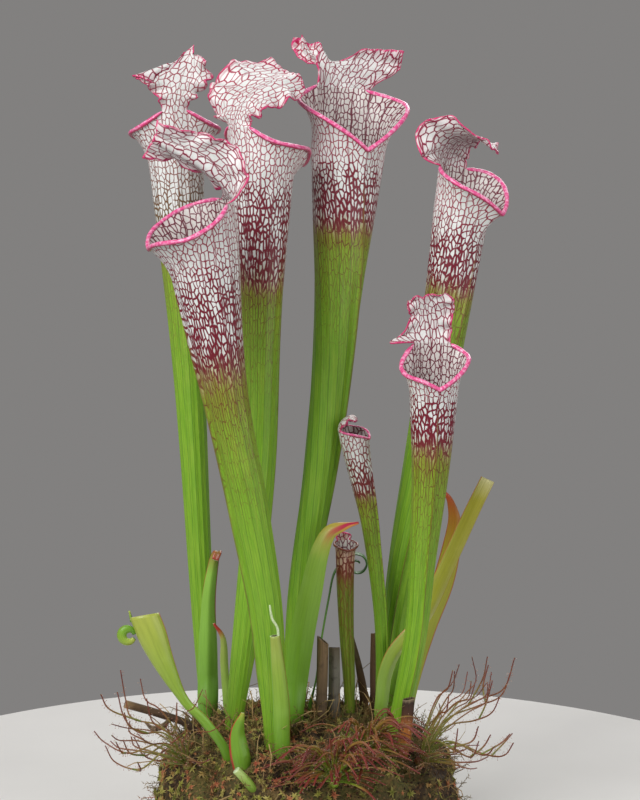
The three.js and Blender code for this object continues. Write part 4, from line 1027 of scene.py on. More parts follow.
# %% Leaf sizes
BLADES = {
    "leaf_hooded": dict(
        path=[[-9, -15, 56], [-8, -14, 108], [-3, -15, 152], [4, -16, 188],
              [9.5, -16, 213], [16, -14, 227.5], [26, -12.5, 232.5], [37, -10, 234.5]],
        width=[4, 5.5, 6.8, 7.8, 8.6, 9, 8.9, 8.6, 8, 7.2, 6.2, 4.4, 0.9],
        fold=[0, 10, 16, 16, 10, 10, 14, 10],
        across=0, bulge=2.6, foot=44,
    ),
    "leaf_keeled": dict(
        path=[[-72, 19, 58], [-71, 20, 95], [-71, 20, 128], [-70, 22, 172],
              [-66, 22, 200], [-63, 20, 207], [-65, 17, 202]],
        width=[4, 7, 8.5, 8, 6, 4.6, 2.5], fold=[0, 28, 34, 34, 30, 26, 20],
        across=0, bulge=1, foot=40,
    ),
    "leaf_red_tip": dict(
        path=[[-55, 12, 62], [-57, 12, 101], [-58.5, 12, 126], [-59.5, 12, 146], [-66, 12, 157]],
        width=[2.4, 3, 3, 2.8, 0.8], fold=[0, 20, 24, 20, 10], across=10, bulge=0.7, foot=36,
    ),
    "leaf_short_red": dict(
        path=[[-39, -72, 50], [-43, -73, 76], [-46, -75, 100], [-42.5, -76, 116]],
        width=[4.5, 6.4, 7.2, 7.2, 5, 1.2], fold=[0, 20, 26, 30, 26, 10], across=8, bulge=0.8, foot=36,
    ),
    "leaf_folded_yellow": dict(
        path=[[50, 5, 54], [54, 4, 100], [62, 4, 133], [84, 5, 160],
              [101, 7, 197.6], [119, 10, 238], [130, 12, 261]],
        width=[4, 5, 6.5, 7.5, 7.5, 7, 6.3], fold=[0, 20, 30, 36, 34, 30, 26],
        across=20, bulge=0.8, foot=44,
    ),
    "leaf_sickle": dict(
        path=[[70, 26, 52], [74.5, 26, 103], [85, 29, 146], [99.5, 30, 185],
              [106.5, 30, 222], [104, 30, 241], [98.7, 30, 250]],
        width=[3.6, 5, 7, 8.6, 8.2, 6, 1], fold=[0, 12, 16, 20, 20, 16, 10],
        across=0, bulge=0.8, foot=44,
    ),
    "stub_grey": dict(
        path=[[20, 4.5, 58], [20, 4.5, 95], [20, 4.5, 118], [20, 4.5, 141]],
        width=[3, 4.4, 4.6, 4.2], fold=[0, 20, 26, 24], across=-8, bulge=0.8, foot=40,
    ),
    "stub_spike": dict(
        path=[[44, 27, 60], [42, 27, 97], [38, 27, 122], [33, 26, 146]],
        width=[3, 3.6, 2.6, 0.8], fold=[0, 10, 14, 10], across=0, bulge=0.8, foot=40,
    ),
    "stub_dark": dict(
        path=[[48, 30, 60], [49, 30, 95], [49, 30, 120], [49, 31, 145]],
        width=[2.6, 3, 2.8, 2.2], fold=[0, 16, 20, 20], across=15, bulge=0.9, foot=40,
    ),
}
LOOP = dict(
    path=[[2, 0, 56], [2, 0, 93], [7, 5, 117], [11, 12, 145], [16, 20, 172], [20, 26, 190]],
    centre=[36.5, 29, 196], start=165, turns=1.35, radius=[9.5, 2.6],
    width=[2.2, 2.6, 2.4, 2.2, 2.2, 2.6, 3.4, 4.2, 4.4, 4.2, 4, 3.4, 2.4], foot=42,
)
LOOP_POINTS = 9


def coil_points(centre, radius, angle):
    """Points round a centre, in an upright plane that faces the camera."""
    x, y, z = centre
    return np.stack([x + radius * np.cos(angle), 0 * angle + y, z + radius * np.sin(angle)], 1)


def curled_leaf(c):
    """The thin green leaf: it climbs, then winds inward round a centre."""
    share = np.linspace(0, 1, LOOP_POINTS + 1)
    angle = math.radians(c["start"]) - 2 * math.pi * c["turns"] * share
    r = c["radius"][0] + (c["radius"][1] - c["radius"][0]) * share
    points = [*c["path"], *coil_points(c["centre"], r, angle).tolist()]
    return dict(path=points, width=c["width"], fold=[0, 0], across=90, bulge=0.1, foot=c["foot"])


BLADES["leaf_curled_green"] = curled_leaf(LOOP)
print("flat leaves:", len(BLADES))

# %% Make the flat leaves
BLADE_ROWS = 90
BLADE_POINTS = 13
THINNEST = 0.7
THICKEST = 1.3
THICKENING = 0.2
MARGIN_THINNING = 0.55
KEEL_SHARPNESS = 6
FOOT_WIDTH = 0.95
FOOT_DEPTH = 0.7
LEAST_FOOT = 1.2
STUMP_SIDES = 28
TOWARD_CAMERA = math.radians(-90)


def blade_section(path, b, v):
    """Sections of a flat leaf: round at its foot, then two halves that fold toward the front."""
    share = v / path.length
    way, across, _ = path.frame(v, math.radians(b["across"]))
    normal = np.cross(way, across)
    half = along(b["width"], share)[:, None]
    fold = np.radians(along(b["fold"], share))[:, None]
    flat = smooth(v, b["foot"] * 0.9, b["foot"] * 1.5)[:, None]
    thick = np.minimum(THICKEST, THINNEST + half * THICKENING)
    side = np.sin(np.linspace(1, -1, BLADE_POINTS) * math.pi / 2)
    side, face = np.concatenate([side, side[::-1]]), np.repeat([1, -1], BLADE_POINTS)
    angle = (np.arange(2 * BLADE_POINTS) + 0.5) / BLADE_POINTS * math.pi
    lens = (1 - MARGIN_THINNING * side**6) * thick
    bulge = (lens + b["bulge"] * (1 - side**2) * np.minimum(half / 4, 1)) / 2
    bend = fold * np.tanh(side * KEEL_SHARPNESS)
    x = side * half * np.cos(fold) - face * bulge * np.sin(bend)
    y = np.abs(side) * half * np.sin(fold) + face * bulge * np.cos(bend)
    x = x * flat + half * FOOT_WIDTH * np.cos(angle) * (1 - flat)
    y = y * flat + np.maximum(half * FOOT_DEPTH, LEAST_FOOT) * np.sin(angle) * (1 - flat)
    points = path.at(v)[:, None] + x[..., None] * across[:, None] + y[..., None] * normal[:, None]
    return points, side


def closed_loft(surface, points, across, run, slot=0, cut_slot=None):
    """A closed solid through rings of points, with along and across maps and flat ends."""
    ids = surface.add(points)
    ring = closed(ids)
    side = np.broadcast_to(np.append(across, across[0]), ring.shape)
    run = np.broadcast_to(run[:, None], side.shape)
    share = run / run[-1, 0]
    surface.skin(ring, slot, net=np.stack([side, run / 10], -1), zone=np.stack([side, share], -1))
    surface.cap(ids[0], points[0].mean(0), slot, flip=True)
    surface.cap(ids[-1], points[-1].mean(0), slot if cut_slot is None else cut_slot)


def blade(b, surface):
    path = Path(b["path"])
    v = np.concatenate([[0.0], np.linspace(b["foot"], path.length, BLADE_ROWS)])
    points, side = blade_section(path, b, v)
    closed_loft(surface, points, side, v, 0, 1)


def ring_points(path, s, v, inset=0.0, rim=0.0):
    """Rings round a stump. rim is the share of the cut's slant that each ring has."""
    way, face, left = path.frame(v, TOWARD_CAMERA)
    r = (along(s["radius"], v / path.length) - inset)[:, None]
    turn = around(STUMP_SIDES)
    points = path.at(v)[:, None] + face[:, None] * (r * s.get("squash", 1) * np.cos(turn))[..., None]
    points = points + left[:, None] * (r * np.sin(turn))[..., None]
    slant = s.get("cut", 0) * np.sin(turn) + s.get("nod", 0) * np.cos(turn)
    lift = np.broadcast_to(np.asarray(rim), v.shape)[:, None] * slant
    return points + way[:, None] * lift[..., None], turn / math.pi - 1


# %% [markdown]
# ## Cut stumps and dead stubs
# Old leaves were cut off at different heights. A cut pitcher or tube is hollow, with a pale rim, and
# the oldest stubs are brown and frayed. They are lofts too: up the outside, over the rim and down
# the inside to a floor.

# %% Stump sizes
STUMPS = {
    "pitcher_cut": dict(
        path=[[-42, -56, 48], [-55, -59, 84], [-69, -61, 105.5],
              [-83, -62, 121], [-97, -62, 148], [-109.8, -60, 180]],
        radius=[3.2, 3.2, 3.2, 3.3, 3.4, 3.2, 3.7, 5.9, 8.1, 10, 10.1], squash=0.72, wall=1,
        floor=0.6, foot=42, cut=-1.9, nod=1.3,
    ),
    "leaf_cut_tube": dict(
        path=[[-14, -63, 50], [-16, -68, 95], [-16.5, -70, 122], [-19, -71, 151], [-20.7, -72, 168.7]],
        radius=[3.8, 5, 5.8, 5, 3.4], squash=0.7, wall=0.9, floor=0.8, foot=44, cut=0,
    ),
    "stub_hollow_brown": dict(
        path=[[11, -5, 58], [11, -5, 95], [11.5, -5, 120], [12, -5, 149]],
        radius=[3, 3.8, 4, 4.1], squash=0.8, wall=0.9, floor=0.7, foot=40, cut=-3,
    ),
    "stub_holed": dict(
        path=[[66, -33, 58], [69, -33, 84], [70.5, -33, 96], [72, -33, 114]],
        radius=[3.6, 5.2, 4.4, 4.2], squash=0.9, wall=1, floor=0.72, foot=32, cut=1,
    ),
}
STEMS = {
    "stub_pale": dict(
        path=[[-29, -84, 56], [-35, -88, 66], [-41, -91, 74.5], [-46.5, -93, 81]],
        radius=[3, 3.2, 3.1, 2.7], foot=18,
    ),
    "stem_lying": dict(
        path=[[-66, -6, 73], [-83, -8, 88], [-104, -11, 97], [-128, -14, 105]],
        radius=[2.2, 2.6, 2.8, 2.9], foot=26,
    ),
}
RING = dict(centre=[-121, -60, 166], radius=4.5, width=1.2, thick=1.5, swell=2.1)
SPIKE = [[-118.6, -60, 175.5], [-119.2, -60, 179], [-120.2, -60, 183.2]]
STRAND = [[-18.2, -72, 166], [-18.8, -72, 174], [-22.5, -72, 181], [-24, -72, 190]]
DRY_CURL = [[-96, -11, 95], [-100, -16, 90], [-108, -17, 88], [-114, -14, 92]]
CUT_START = 0.86
RING_START = 12
RING_TURN = 320
RING_POINTS = 11


def stump(s, surface):
    path = Path(s["path"])
    up = np.concatenate([[0.0], np.linspace(s["foot"], path.length, 48)])
    down = np.linspace(path.length, path.length * s["floor"], 22)
    slanting = (path.length * CUT_START, path.length)
    outer, side = ring_points(path, s, up, 0, smooth(up, *slanting))
    inner, _ = ring_points(path, s, down, s["wall"], smooth(down, *slanting))
    outer_ids, inner_ids = surface.add(outer), surface.add(inner)

    def band(ids, run, slot):
        ring = closed(ids)
        place = np.broadcast_to(np.asarray(run)[:, None], ring.shape)
        row = np.broadcast_to(np.append(side, 1), ring.shape)
        net, zone = np.stack([row, place / 10], -1), np.stack([row, place / path.length], -1)
        surface.skin(ring, slot, net=net, zone=zone)

    band(outer_ids, up, 0)
    band(inner_ids, down, 2)
    band(np.stack([outer_ids[-1], inner_ids[0]]), [path.length, path.length], 1)
    surface.cap(outer_ids[0], outer[0].mean(0), 0, flip=True)
    surface.cap(inner_ids[-1], inner[-1].mean(0), 2)


def stem(s, surface):
    path = Path(s["path"])
    v = np.concatenate([[0.0], np.linspace(s["foot"], path.length, 30)])
    points, side = ring_points(path, s, v)
    closed_loft(surface, points, side, v, 0, 1)


def strand(surface, points, radius, sides, squash=1.0, slot=0, steps=40):
    """A thin strand whose section is carried along without twisting."""
    path = Path(points)
    v = np.linspace(0, path.length, steps)
    way = unit(path.at(v + 0.5) - path.at(np.maximum(v - 0.5, 0)))
    start = np.array([0, 0, 1.0]) if abs(way[0][2]) < 0.9 else np.array([1.0, 0, 0])
    normals = []
    for step in way:
        start = unit(start - (start @ step) * step)
        normals.append(start)
    normal = np.array(normals)
    beside = np.cross(way, normal)
    turn = around(sides)
    r = along(radius, v / path.length)[:, None]
    ring = path.at(v)[:, None] + normal[:, None] * (r * np.cos(turn))[..., None]
    ring = ring + beside[:, None] * (r * squash * np.sin(turn))[..., None]
    closed_loft(surface, ring, turn / math.pi - 1, v, slot)


def leaf_ring(r):
    """The curled ring on the cut pitcher: its points, its radius along them and its squash."""
    angle = np.radians(RING_START + RING_TURN * np.linspace(0, 1, RING_POINTS))
    points = coil_points(r["centre"], r["radius"], angle)
    swollen = r["thick"] * r["swell"]
    return points, [r["thick"], swollen, swollen, r["thick"]], r["width"] / r["thick"]


print("stumps:", len(STUMPS), "stems:", len(STEMS))

# %% Leaf finishes
def leaf_finish(name, stops, edges, painted_shade_half, veins, rough, dry):
    """A leaf whose colour follows a ramp from its foot to its tip, with lengthwise veins and, where asked,
    one half painted darker as shade.
    """
    s = Shader(name)
    side, share, _ = s.split(s.uv("zone"))
    across, run, _ = s.split(s.uv("net"))
    streaky = s.noise(s.join(across * 9, run * 0.35), 1.4, 3)
    blotch = s.noise(s.place(), 55, 3)
    colour = s.ramp(share + (streaky - 0.5) * 0.08, stops)
    darker = s.node("HueSaturation", {}, Color=colour, Value=0.66)
    lighter = s.node("HueSaturation", {}, Color=colour, Value=1.16, Saturation=0.92)
    colour = s.mix(streaky.between(0.3, 0.6, 0.3 + dry * 0.4, 0), colour, darker)
    colour = s.mix(blotch.between(0.5, 0.8) * 0.4, colour, lighter)
    line = (0.5 - abs((side * 3).fraction() - 0.5)).between(0.02, 0.1, 1, 0)
    colour = s.mix(line * veins, colour, darker)
    # Painted shade: one half of the leaf, beside the midrib, is darkened as the face turned away from the
    # key light.
    colour = s.mix(side.between(0.0, 0.12) * painted_shade_half, colour, darker)
    for centre, width, start, edge in edges:
        margin = abs(side - centre).between(width * 0.4, width, 1, 0)
        colour = s.mix(margin * (share + streaky * 0.1).between(start, start + 0.15), colour, edge)
    if dry:
        spots = s.noise(s.place(), 240, 4)
        colour = s.mix(spots.between(0.5, 0.75) * dry, colour, (52, 40, 32))
    height = streaky * 0.6 + line * 0.3 + blotch * 0.3
    return s.finish(colour, rough + (blotch - 0.5) * 0.2, height, 0.14 + dry * 0.5, 0.05)


def cut_finish(name, colour, dark):
    s = Shader(name)
    grain = s.noise(s.place(), 700, 4)
    return s.finish(s.mix(grain.between(0.4, 0.65), colour, dark), 0.7, grain, 0.2)


GREEN, DEEP, PALE = (124, 174, 46), (96, 148, 38), (156, 190, 84)
YELLOW, STRAW = (172, 180, 72), (214, 208, 142)
RED, CRIMSON, BROWN = (172, 56, 46), (190, 36, 76), (104, 72, 44)
LEAF_STOPS = {
    "leaf_hooded": [
        (0, DEEP), (0.45, (122, 170, 50)), (0.78, (140, 178, 66)), (0.86, YELLOW),
        (0.93, (200, 170, 70)), (1, (220, 110, 50)),
    ],
    "leaf_keeled": [
        (0, DEEP), (0.4, (130, 180, 68)), (0.85, (142, 188, 76)), (0.93, (140, 140, 60)),
        (1, RED),
    ],
    "leaf_red_tip": [(0, DEEP), (0.5, PALE), (0.86, (156, 170, 84)), (0.94, RED), (1, RED)],
    "leaf_short_red": [(0, DEEP), (0.35, (106, 150, 40)), (0.9, (118, 162, 50)), (1, YELLOW)],
    "leaf_folded_yellow": [
        (0, GREEN), (0.3, PALE), (0.5, (158, 162, 50)), (0.93, (176, 170, 54)), (1, STRAW),
    ],
    "leaf_sickle": [
        (0, GREEN), (0.3, (146, 160, 50)), (0.75, (158, 150, 44)), (0.9, (176, 116, 42)),
        (1, RED),
    ],
    "leaf_curled_green": [(0, DEEP), (0.5, DEEP), (0.75, (70, 124, 38)), (1, (58, 112, 36))],
    "stub_grey": [(0, BROWN), (0.4, (118, 108, 96)), (0.8, (138, 134, 122)), (1, (112, 100, 82))],
    "stub_spike": [(0, BROWN), (0.6, (98, 72, 50)), (1, (128, 108, 84))],
    "stub_dark": [(0, BROWN), (0.6, (90, 64, 44)), (1, (112, 82, 56))],
    "pitcher_cut": [(0, DEEP), (0.4, (122, 168, 52)), (0.7, (146, 174, 62)), (1, (170, 180, 78))],
    "leaf_cut_tube": [(0, DEEP), (0.4, (120, 168, 52)), (0.75, (138, 170, 62)), (1, (156, 170, 78))],
    "stub_hollow_brown": [(0, BROWN), (0.5, (112, 92, 70)), (1, (134, 108, 78))],
    "stub_holed": [
        (0, BROWN), (0.4, (190, 122, 56)), (0.66, (182, 108, 46)), (0.8, (84, 52, 34)),
        (0.95, (60, 44, 32)), (1, (150, 132, 104)),
    ],
    "stub_pale": [(0, GREEN), (0.7, PALE), (1, (180, 202, 122))],
    "stem_lying": [(0, (62, 46, 34)), (0.5, (74, 54, 38)), (0.9, (96, 72, 48)), (1, (166, 134, 96))],
}
LEAF_EDGES = {
    "leaf_hooded": [(0.2, 0.5, 0.86, CRIMSON)],
    "leaf_keeled": [(1, 0.2, 0.6, (150, 60, 44)), (-1, 0.14, 0.75, RED)],
    "leaf_short_red": [(-1, 0.22, 0.2, RED)],
    "leaf_sickle": [(1, 0.14, 0.3, (160, 96, 42)), (-1, 0.12, 0.6, (160, 70, 40))],
    "leaf_folded_yellow": [(-1, 0.12, 0.3, (184, 124, 46)), (1, 0.12, 0.4, (168, 110, 44))],
    "pitcher_cut": [(-0.5, 0.08, 0.3, (186, 96, 50))],
    "leaf_cut_tube": [(-0.5, 0.1, 0.3, (168, 104, 48)), (0.4, 0.3, 0.2, (124, 182, 62))],
}
DEAD = ("stub_grey", "stub_spike", "stub_dark", "stub_hollow_brown", "stub_holed", "stem_lying")
LEAF_SLOT = {name: "dead_leaf" for name in DEAD}
for name in ("leaf_folded_yellow", "leaf_sickle", "pitcher_cut", "stub_pale"):
    LEAF_SLOT[name] = "leaf_yellow"
cream = cut_finish("cut_rim", (222, 214, 176), (186, 176, 128))
mint = cut_finish("pale_cut", (206, 222, 178), (176, 200, 140))
dry_cut = cut_finish("dry_cut", (124, 104, 80), (70, 52, 38))
hollow = cut_finish("hollow", (92, 82, 50), (54, 44, 28))


def finishes_of(name):
    dead = name in DEAD
    body = leaf_finish(
        name + "_skin", LEAF_STOPS[name], LEAF_EDGES.get(name, ()),
        # The keeled leaf gets painted shade on one of its two halves.
        painted_shade_half=0.75 if name == "leaf_keeled" else 0.0, veins=0.5 if dead else 0.25,
        rough=0.75 if dead else 0.4, dry=0.5 if dead else 0.0,
    )
    cut = dry_cut if dead else mint if name in ("stub_pale", "leaf_cut_tube") else cream
    return [body, cut, hollow]


def small_leaf(name, make, sizes):
    surface = Surface()
    make(sizes, surface)
    if name == "pitcher_cut":
        points, radius, squash = leaf_ring(RING)
        strand(surface, points, radius, 10, squash)
        strand(surface, SPIKE, [1.1, 0.9, 0.6], 8, steps=12)
    if name == "leaf_cut_tube":
        strand(surface, STRAND, [1, 0.9, 0.9, 0.6], 8, slot=1)
    if name == "stem_lying":
        strand(surface, DRY_CURL, [1.2, 2.6, 2.4, 1], 12, 0.45, slot=1)
    piece = surface.piece(name + "_leaf", finishes_of(name), LEAF_SLOT.get(name, "leaf_green"))
    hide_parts(name)
    return piece


small_leaves = [small_leaf(name, blade, sizes) for name, sizes in BLADES.items()]
small_leaves += [small_leaf(name, stump, sizes) for name, sizes in STUMPS.items()]
small_leaves += [small_leaf(name, stem, sizes) for name, sizes in STEMS.items()]
print("triangles in the smaller leaves:", sum(triangles(piece) for piece in small_leaves))

# %% [markdown]
# ## The moss mound
# The clump stands in a low mound of moss over peat. Its outline is a profile turned round, with
# lobes and bumps that follow the bearing, as in the solid. A grid with many more points adds the
# lumps that cushions of moss have. Leaves and stumps stand in it, so the script measures how much
# room each place has beside them: nothing is scattered inside a leaf.

# %% Mound surface
MOUND = dict(
    centre=(-3, 0),
    profile=[[97, 0], [104, 12], [107, 32], [103, 52], [92, 68], [74, 80], [52, 87], [28, 91], [0, 92]],
    lobes=[(0.028, 3, 0.6), (0.018, 5, 2)],
    bumps=[(2.2, 6, 13, 0), (1.8, 11, -17, 1), (1.4, 15, 29, 0)],
    calm=26, start=7, lean=0.5,
)
MOUND_SECTORS = 220
MOUND_RINGS = 84
FEET_HEIGHT = 150
FEET_STEPS = 40
LUMP_CENTRE = 40
LUMP_SHARE = 0.8
LUMP_BEND = 0.7
LUMPS = [(1.1, 0.14, 0.11, 0.0), (0.8, 0.23, 0.29, 1.3), (0.55, 0.47, 0.41, 4.1), (0.4, 0.83, 0.71, 2.2)]


def mound_point(up, bearing):
    x, z = np.moveaxis(along(MOUND["profile"], up), -1, 0)
    fade = np.minimum(1, x / MOUND["calm"]) * np.minimum(1, up * MOUND["start"])
    lobes = 1 + sum(size * np.sin(count * bearing + start) for size, count, start in MOUND["lobes"])
    bumps = fade * sum(
        size * np.sin(count * bearing + climb * up + start) for size, count, climb, start in MOUND["bumps"]
    )
    r = x * lobes + bumps * MOUND["lean"]
    middle_x, middle_y = MOUND["centre"]
    return np.stack([middle_x + r * np.cos(bearing), middle_y + r * np.sin(bearing), z + bumps], -1)


def lumpy(points):
    """Small lumps that depend only on the place, so that they meet all round."""
    x, y, z = np.moveaxis(points, -1, 0)
    lift = 0
    for size, one, two, start in LUMPS:
        lift = lift + size * np.sin(one * x + start + LUMP_BEND * np.sin(two * y + z * 0.2))
        lift = lift + size * np.sin(one * y - start + LUMP_BEND * np.sin(two * x - z * 0.15))
    return lift


def mound_body():
    surface = Surface()
    up = np.linspace(0, 1, MOUND_RINGS + 1)[:-1]
    up, bearing = np.meshgrid(up, around(MOUND_SECTORS), indexing="ij")
    points = mound_point(up, bearing)
    points[0, :, 2] = 0
    lift = lumpy(points) * smooth(up, 0, 0.12)
    outward = points - [*MOUND["centre"], LUMP_CENTRE]
    points = points + unit(outward) * lift[..., None] * LUMP_SHARE
    points[1:, :, 2] = np.maximum(points[1:, :, 2], 0.5)
    ids = surface.add(points)
    surface.skin(closed(ids), 0)
    surface.cap(ids[0], [*MOUND["centre"], 0], 0, flip=True)
    surface.cap(ids[-1], mound_point(1, 0), 0)
    return surface


def feet():
    """Points down the middle of every leaf near the moss, each with the leaf's radius there."""
    known = []
    for p in PITCHERS.values():
        v = np.linspace(0, FEET_HEIGHT, FEET_STEPS)
        known.append(np.column_stack([p["path"].at(v), along(p["radius"], v / p["path"].length)]))
    for sizes in (*BLADES.values(), *STUMPS.values(), *STEMS.values()):
        path = Path(sizes["path"])
        v = np.linspace(0, min(path.length, FEET_HEIGHT), FEET_STEPS)
        width = sizes.get("radius", sizes.get("width"))
        known.append(np.column_stack([path.at(v), along(width, v / path.length)]))
    return np.concatenate(known)


FEET = feet()


def room_beside(points):
    """The distance from each point to the nearest leaf's surface."""
    points = np.asarray(points, float).reshape(-1, 3)
    gaps = np.linalg.norm(points[:, None] - FEET[None, :, :3], axis=2) - FEET[None, :, 3]
    return gaps.min(1)


# %% Moss finish
def moss_finish():
    s = Shader("moss_ground")
    place = s.place()
    broad = s.noise(place, 28, 3)
    middle = s.noise(place, 110, 4)
    fine = s.noise(place, 520, 4)
    cells = s.node("TexVoronoi", {"feature": "F1"}, Vector=place, Scale=330.0)
    colour = s.mix(broad.between(0.38, 0.62), (58, 42, 28), (86, 82, 40))
    colour = s.mix(middle.between(0.5, 0.72) * 0.7, colour, (120, 100, 58))
    colour = s.mix(fine.between(0.45, 0.7) * 0.6, colour, (30, 22, 16))
    colour = s.mix(cells.between(0.1, 0.5, 0.5, 0), colour, (128, 96, 60))
    height = middle * 0.8 + fine * 0.8 + cells * 0.6
    return s.finish(colour, 0.9, height, 1.2)


moss_surface = mound_body()
moss = moss_surface.piece("moss_mound_ground", [moss_finish()], "moss")
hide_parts("moss_mound")
print("triangles in the mound:", triangles(moss), "places beside leaves:", len(FEET))

# %% [markdown]
# ## Scattering what repeats
# Moss heads, moss stalks, straws, crumbs of peat and the sticky hairs of the sundews are all one
# small shape repeated over a surface. Geometry Nodes do this with one tree: points on the carrier
# with a least distance, the shape on each point with its Z along the surface's normal, and then a
# random turn, lean and size. A tint is stored on each copy, so that one material can give every
# copy its own colour. The copies become real mesh at the end, because the export can't keep them.

# %% Scatter tree
def scatter_tree():
    tree = bpy.data.node_groups.new("scatter", "GeometryNodeTree")
    inputs = {
        "Carrier": "Geometry", "Shape": "Object", "Distance": "Float", "Density": "Float", "Lean": "Float",
        "Smallest": "Float", "Largest": "Float", "Seed": "Int", "Finish": "Material",
    }
    sockets = {}
    for name, kind in inputs.items():
        made = tree.interface.new_socket(name=name, in_out="INPUT", socket_type="NodeSocket" + kind)
        sockets[name] = made.identifier
    tree.interface.new_socket(name="Mesh", in_out="OUTPUT", socket_type="NodeSocketGeometry")
    start, end = tree.nodes.new("NodeGroupInput"), tree.nodes.new("NodeGroupOutput")

    def node(kind, settings=None, links=None, values=None):
        made = tree.nodes.new(kind)
        for key, value in (settings or {}).items():
            setattr(made, key, value)
        for key, value in (values or {}).items():
            made.inputs[key].default_value = value
        for key, value in (links or {}).items():
            tree.links.new(value, made.inputs[key])
        return made

    given = start.outputs
    room = node("GeometryNodeInputNamedAttribute", {"data_type": "FLOAT"}, {}, {"Name": "room"})
    points = node("GeometryNodeDistributePointsOnFaces", {"distribute_method": "POISSON"}, {
        "Mesh": given["Carrier"], "Distance Min": given["Distance"], "Density Max": given["Density"],
        "Density Factor": room.outputs[0], "Seed": given["Seed"],
    })
    back = node("ShaderNodeMath", {"operation": "MULTIPLY"}, {0: given["Lean"]}, {1: -1.0})
    low = node("ShaderNodeCombineXYZ", {}, {"X": back.outputs[0], "Y": back.outputs[0]}, {"Z": 0.0})
    high = node("ShaderNodeCombineXYZ", {}, {"X": given["Lean"], "Y": given["Lean"]}, {"Z": 2 * math.pi})
    turn = node("FunctionNodeRandomValue", {"data_type": "FLOAT_VECTOR"},
                {"Min": low.outputs[0], "Max": high.outputs[0]}, {"Seed": 3})
    turned = node("FunctionNodeRotateRotation", {"rotation_space": "LOCAL"},
                  {"Rotation": points.outputs["Rotation"], "Rotate By": turn.outputs[0]})
    size = node("FunctionNodeRandomValue", {"data_type": "FLOAT"}, {}, {"Seed": 5})
    tree.links.new(given["Smallest"], size.inputs[2])
    tree.links.new(given["Largest"], size.inputs[3])
    shape = node("GeometryNodeObjectInfo", {"transform_space": "ORIGINAL"}, {"Object": given["Shape"]})
    copies = node("GeometryNodeInstanceOnPoints", {}, {
        "Points": points.outputs["Points"], "Instance": shape.outputs["Geometry"],
        "Rotation": turned.outputs[0], "Scale": size.outputs[1],
    })
    tint = node("FunctionNodeRandomValue", {"data_type": "FLOAT"}, {}, {"Seed": 7})
    marked = node("GeometryNodeStoreNamedAttribute", {"data_type": "FLOAT", "domain": "INSTANCE"},
                  {"Geometry": copies.outputs[0]}, {"Name": "tint"})
    tree.links.new(tint.outputs[1], next(s for s in marked.inputs if s.name == "Value" and s.enabled))
    real = node("GeometryNodeRealizeInstances", {}, {"Geometry": marked.outputs[0]})
    coated = node("GeometryNodeSetMaterial", {}, {"Geometry": real.outputs[0], "Material": given["Finish"]})
    tree.links.new(coated.outputs[0], end.inputs[0])
    return tree, sockets


SCATTER, SCATTER_SOCKETS = scatter_tree()


def scatter(name, surface, room, shape, finish, slot_name, **sizes):
    """A piece made of copies of a shape, on a carrier surface that isn't kept."""
    carrier_mesh, _, _ = surface.bare_mesh(name + "_carrier")
    mark_points(carrier_mesh, "room", np.broadcast_to(room, surface.count))
    carrier = bpy.data.objects.new(name + "_carrier", carrier_mesh)
    for made in (carrier, shape):
        bpy.context.scene.collection.objects.link(made)
    modifier = carrier.modifiers.new("scatter", "NODES")
    modifier.node_group = SCATTER
    for key, value in {"Shape": shape, "Finish": finish, **sizes}.items():
        modifier[SCATTER_SOCKETS[key]] = value
    seen = carrier.evaluated_get(bpy.context.evaluated_depsgraph_get())
    mesh = bpy.data.meshes.new_from_object(seen)
    mesh.name = name
    for made in (carrier, shape):
        bpy.data.objects.remove(made)
    piece = hold(bpy.data.objects.new(name, mesh))
    print(name, "has", triangles(piece), "triangles")


print("scatter tree with", len(SCATTER.nodes), "nodes")

# %% Small shapes
THIRD_TURN = 2.0944
EIGHT_FACES = [(0, 2, 4), (2, 1, 4), (1, 3, 4), (3, 0, 4), (2, 0, 5), (1, 2, 5), (3, 1, 5), (0, 3, 5)]
BRANCHES = 9
DEW_RADIUS = 0.32
HAIR_HEIGHT = 1.7


def spike(base, tip, width, turn=0.0):
    """A slender closed spike with three sides: four points and four faces."""
    base, tip = np.asarray(base, float), np.asarray(tip, float)
    way = unit(tip - base)
    side = unit(np.cross(way, [0.3, 0.5, 0.81]))
    other = np.cross(way, side)
    angles = turn + np.arange(3) * THIRD_TURN
    corners = [base + width * (side * math.cos(a) + other * math.sin(a)) for a in angles]
    return [*corners, tip], [(2, 1, 0), (0, 1, 3), (1, 2, 3), (2, 0, 3)]


def joined(parts):
    """One shape from several: (points, faces, mark) of each, its mark a number for its points."""
    points, faces, marks = [], [], []
    for part_points, part_faces, mark in parts:
        faces += [tuple(i + len(points) for i in face) for face in part_faces]
        points += [tuple(point) for point in part_points]
        marks += list(np.broadcast_to(mark, len(part_points)))
    return points, faces, marks


def moss_head():
    """A star of short leafy branches, seen from above, that droop at their ends."""
    parts = []
    for k in range(BRANCHES):
        angle = 2 * math.pi * k / BRANCHES + 0.35 * math.sin(5 * k)
        reach = 2.6 + 0.7 * math.sin(3 * k + 1)
        tip = (reach * math.cos(angle), reach * math.sin(angle), 0.5 + 0.7 * math.sin(2 * k))
        parts.append((*spike((0, 0, 0.7), tip, 0.72, k), [0.2, 0.2, 0.2, 1.0]))
    parts.append((*spike((0, 0, -1.5), (0, 0, 2.2), 1.0), [0.0, 0.0, 0.0, 0.5]))
    return joined(parts)


def moss_stalk():
    """An upright stem with small leaves all the way up."""
    parts = [(*spike((0, 0, -2), (0.8, 0.4, 14), 0.42), [0, 0, 0, 1.0])]
    for k in range(BRANCHES):
        z = 1.5 + 1.35 * k
        angle = 2.4 * k
        base = (0.05 * z, 0.03 * z, z)
        tip = (base[0] + 2.1 * math.cos(angle), base[1] + 2.1 * math.sin(angle), z + 1.5)
        parts.append((*spike(base, tip, 0.34, k), [z / 16, z / 16, z / 16, min(z / 13 + 0.2, 1)]))
    return joined(parts)


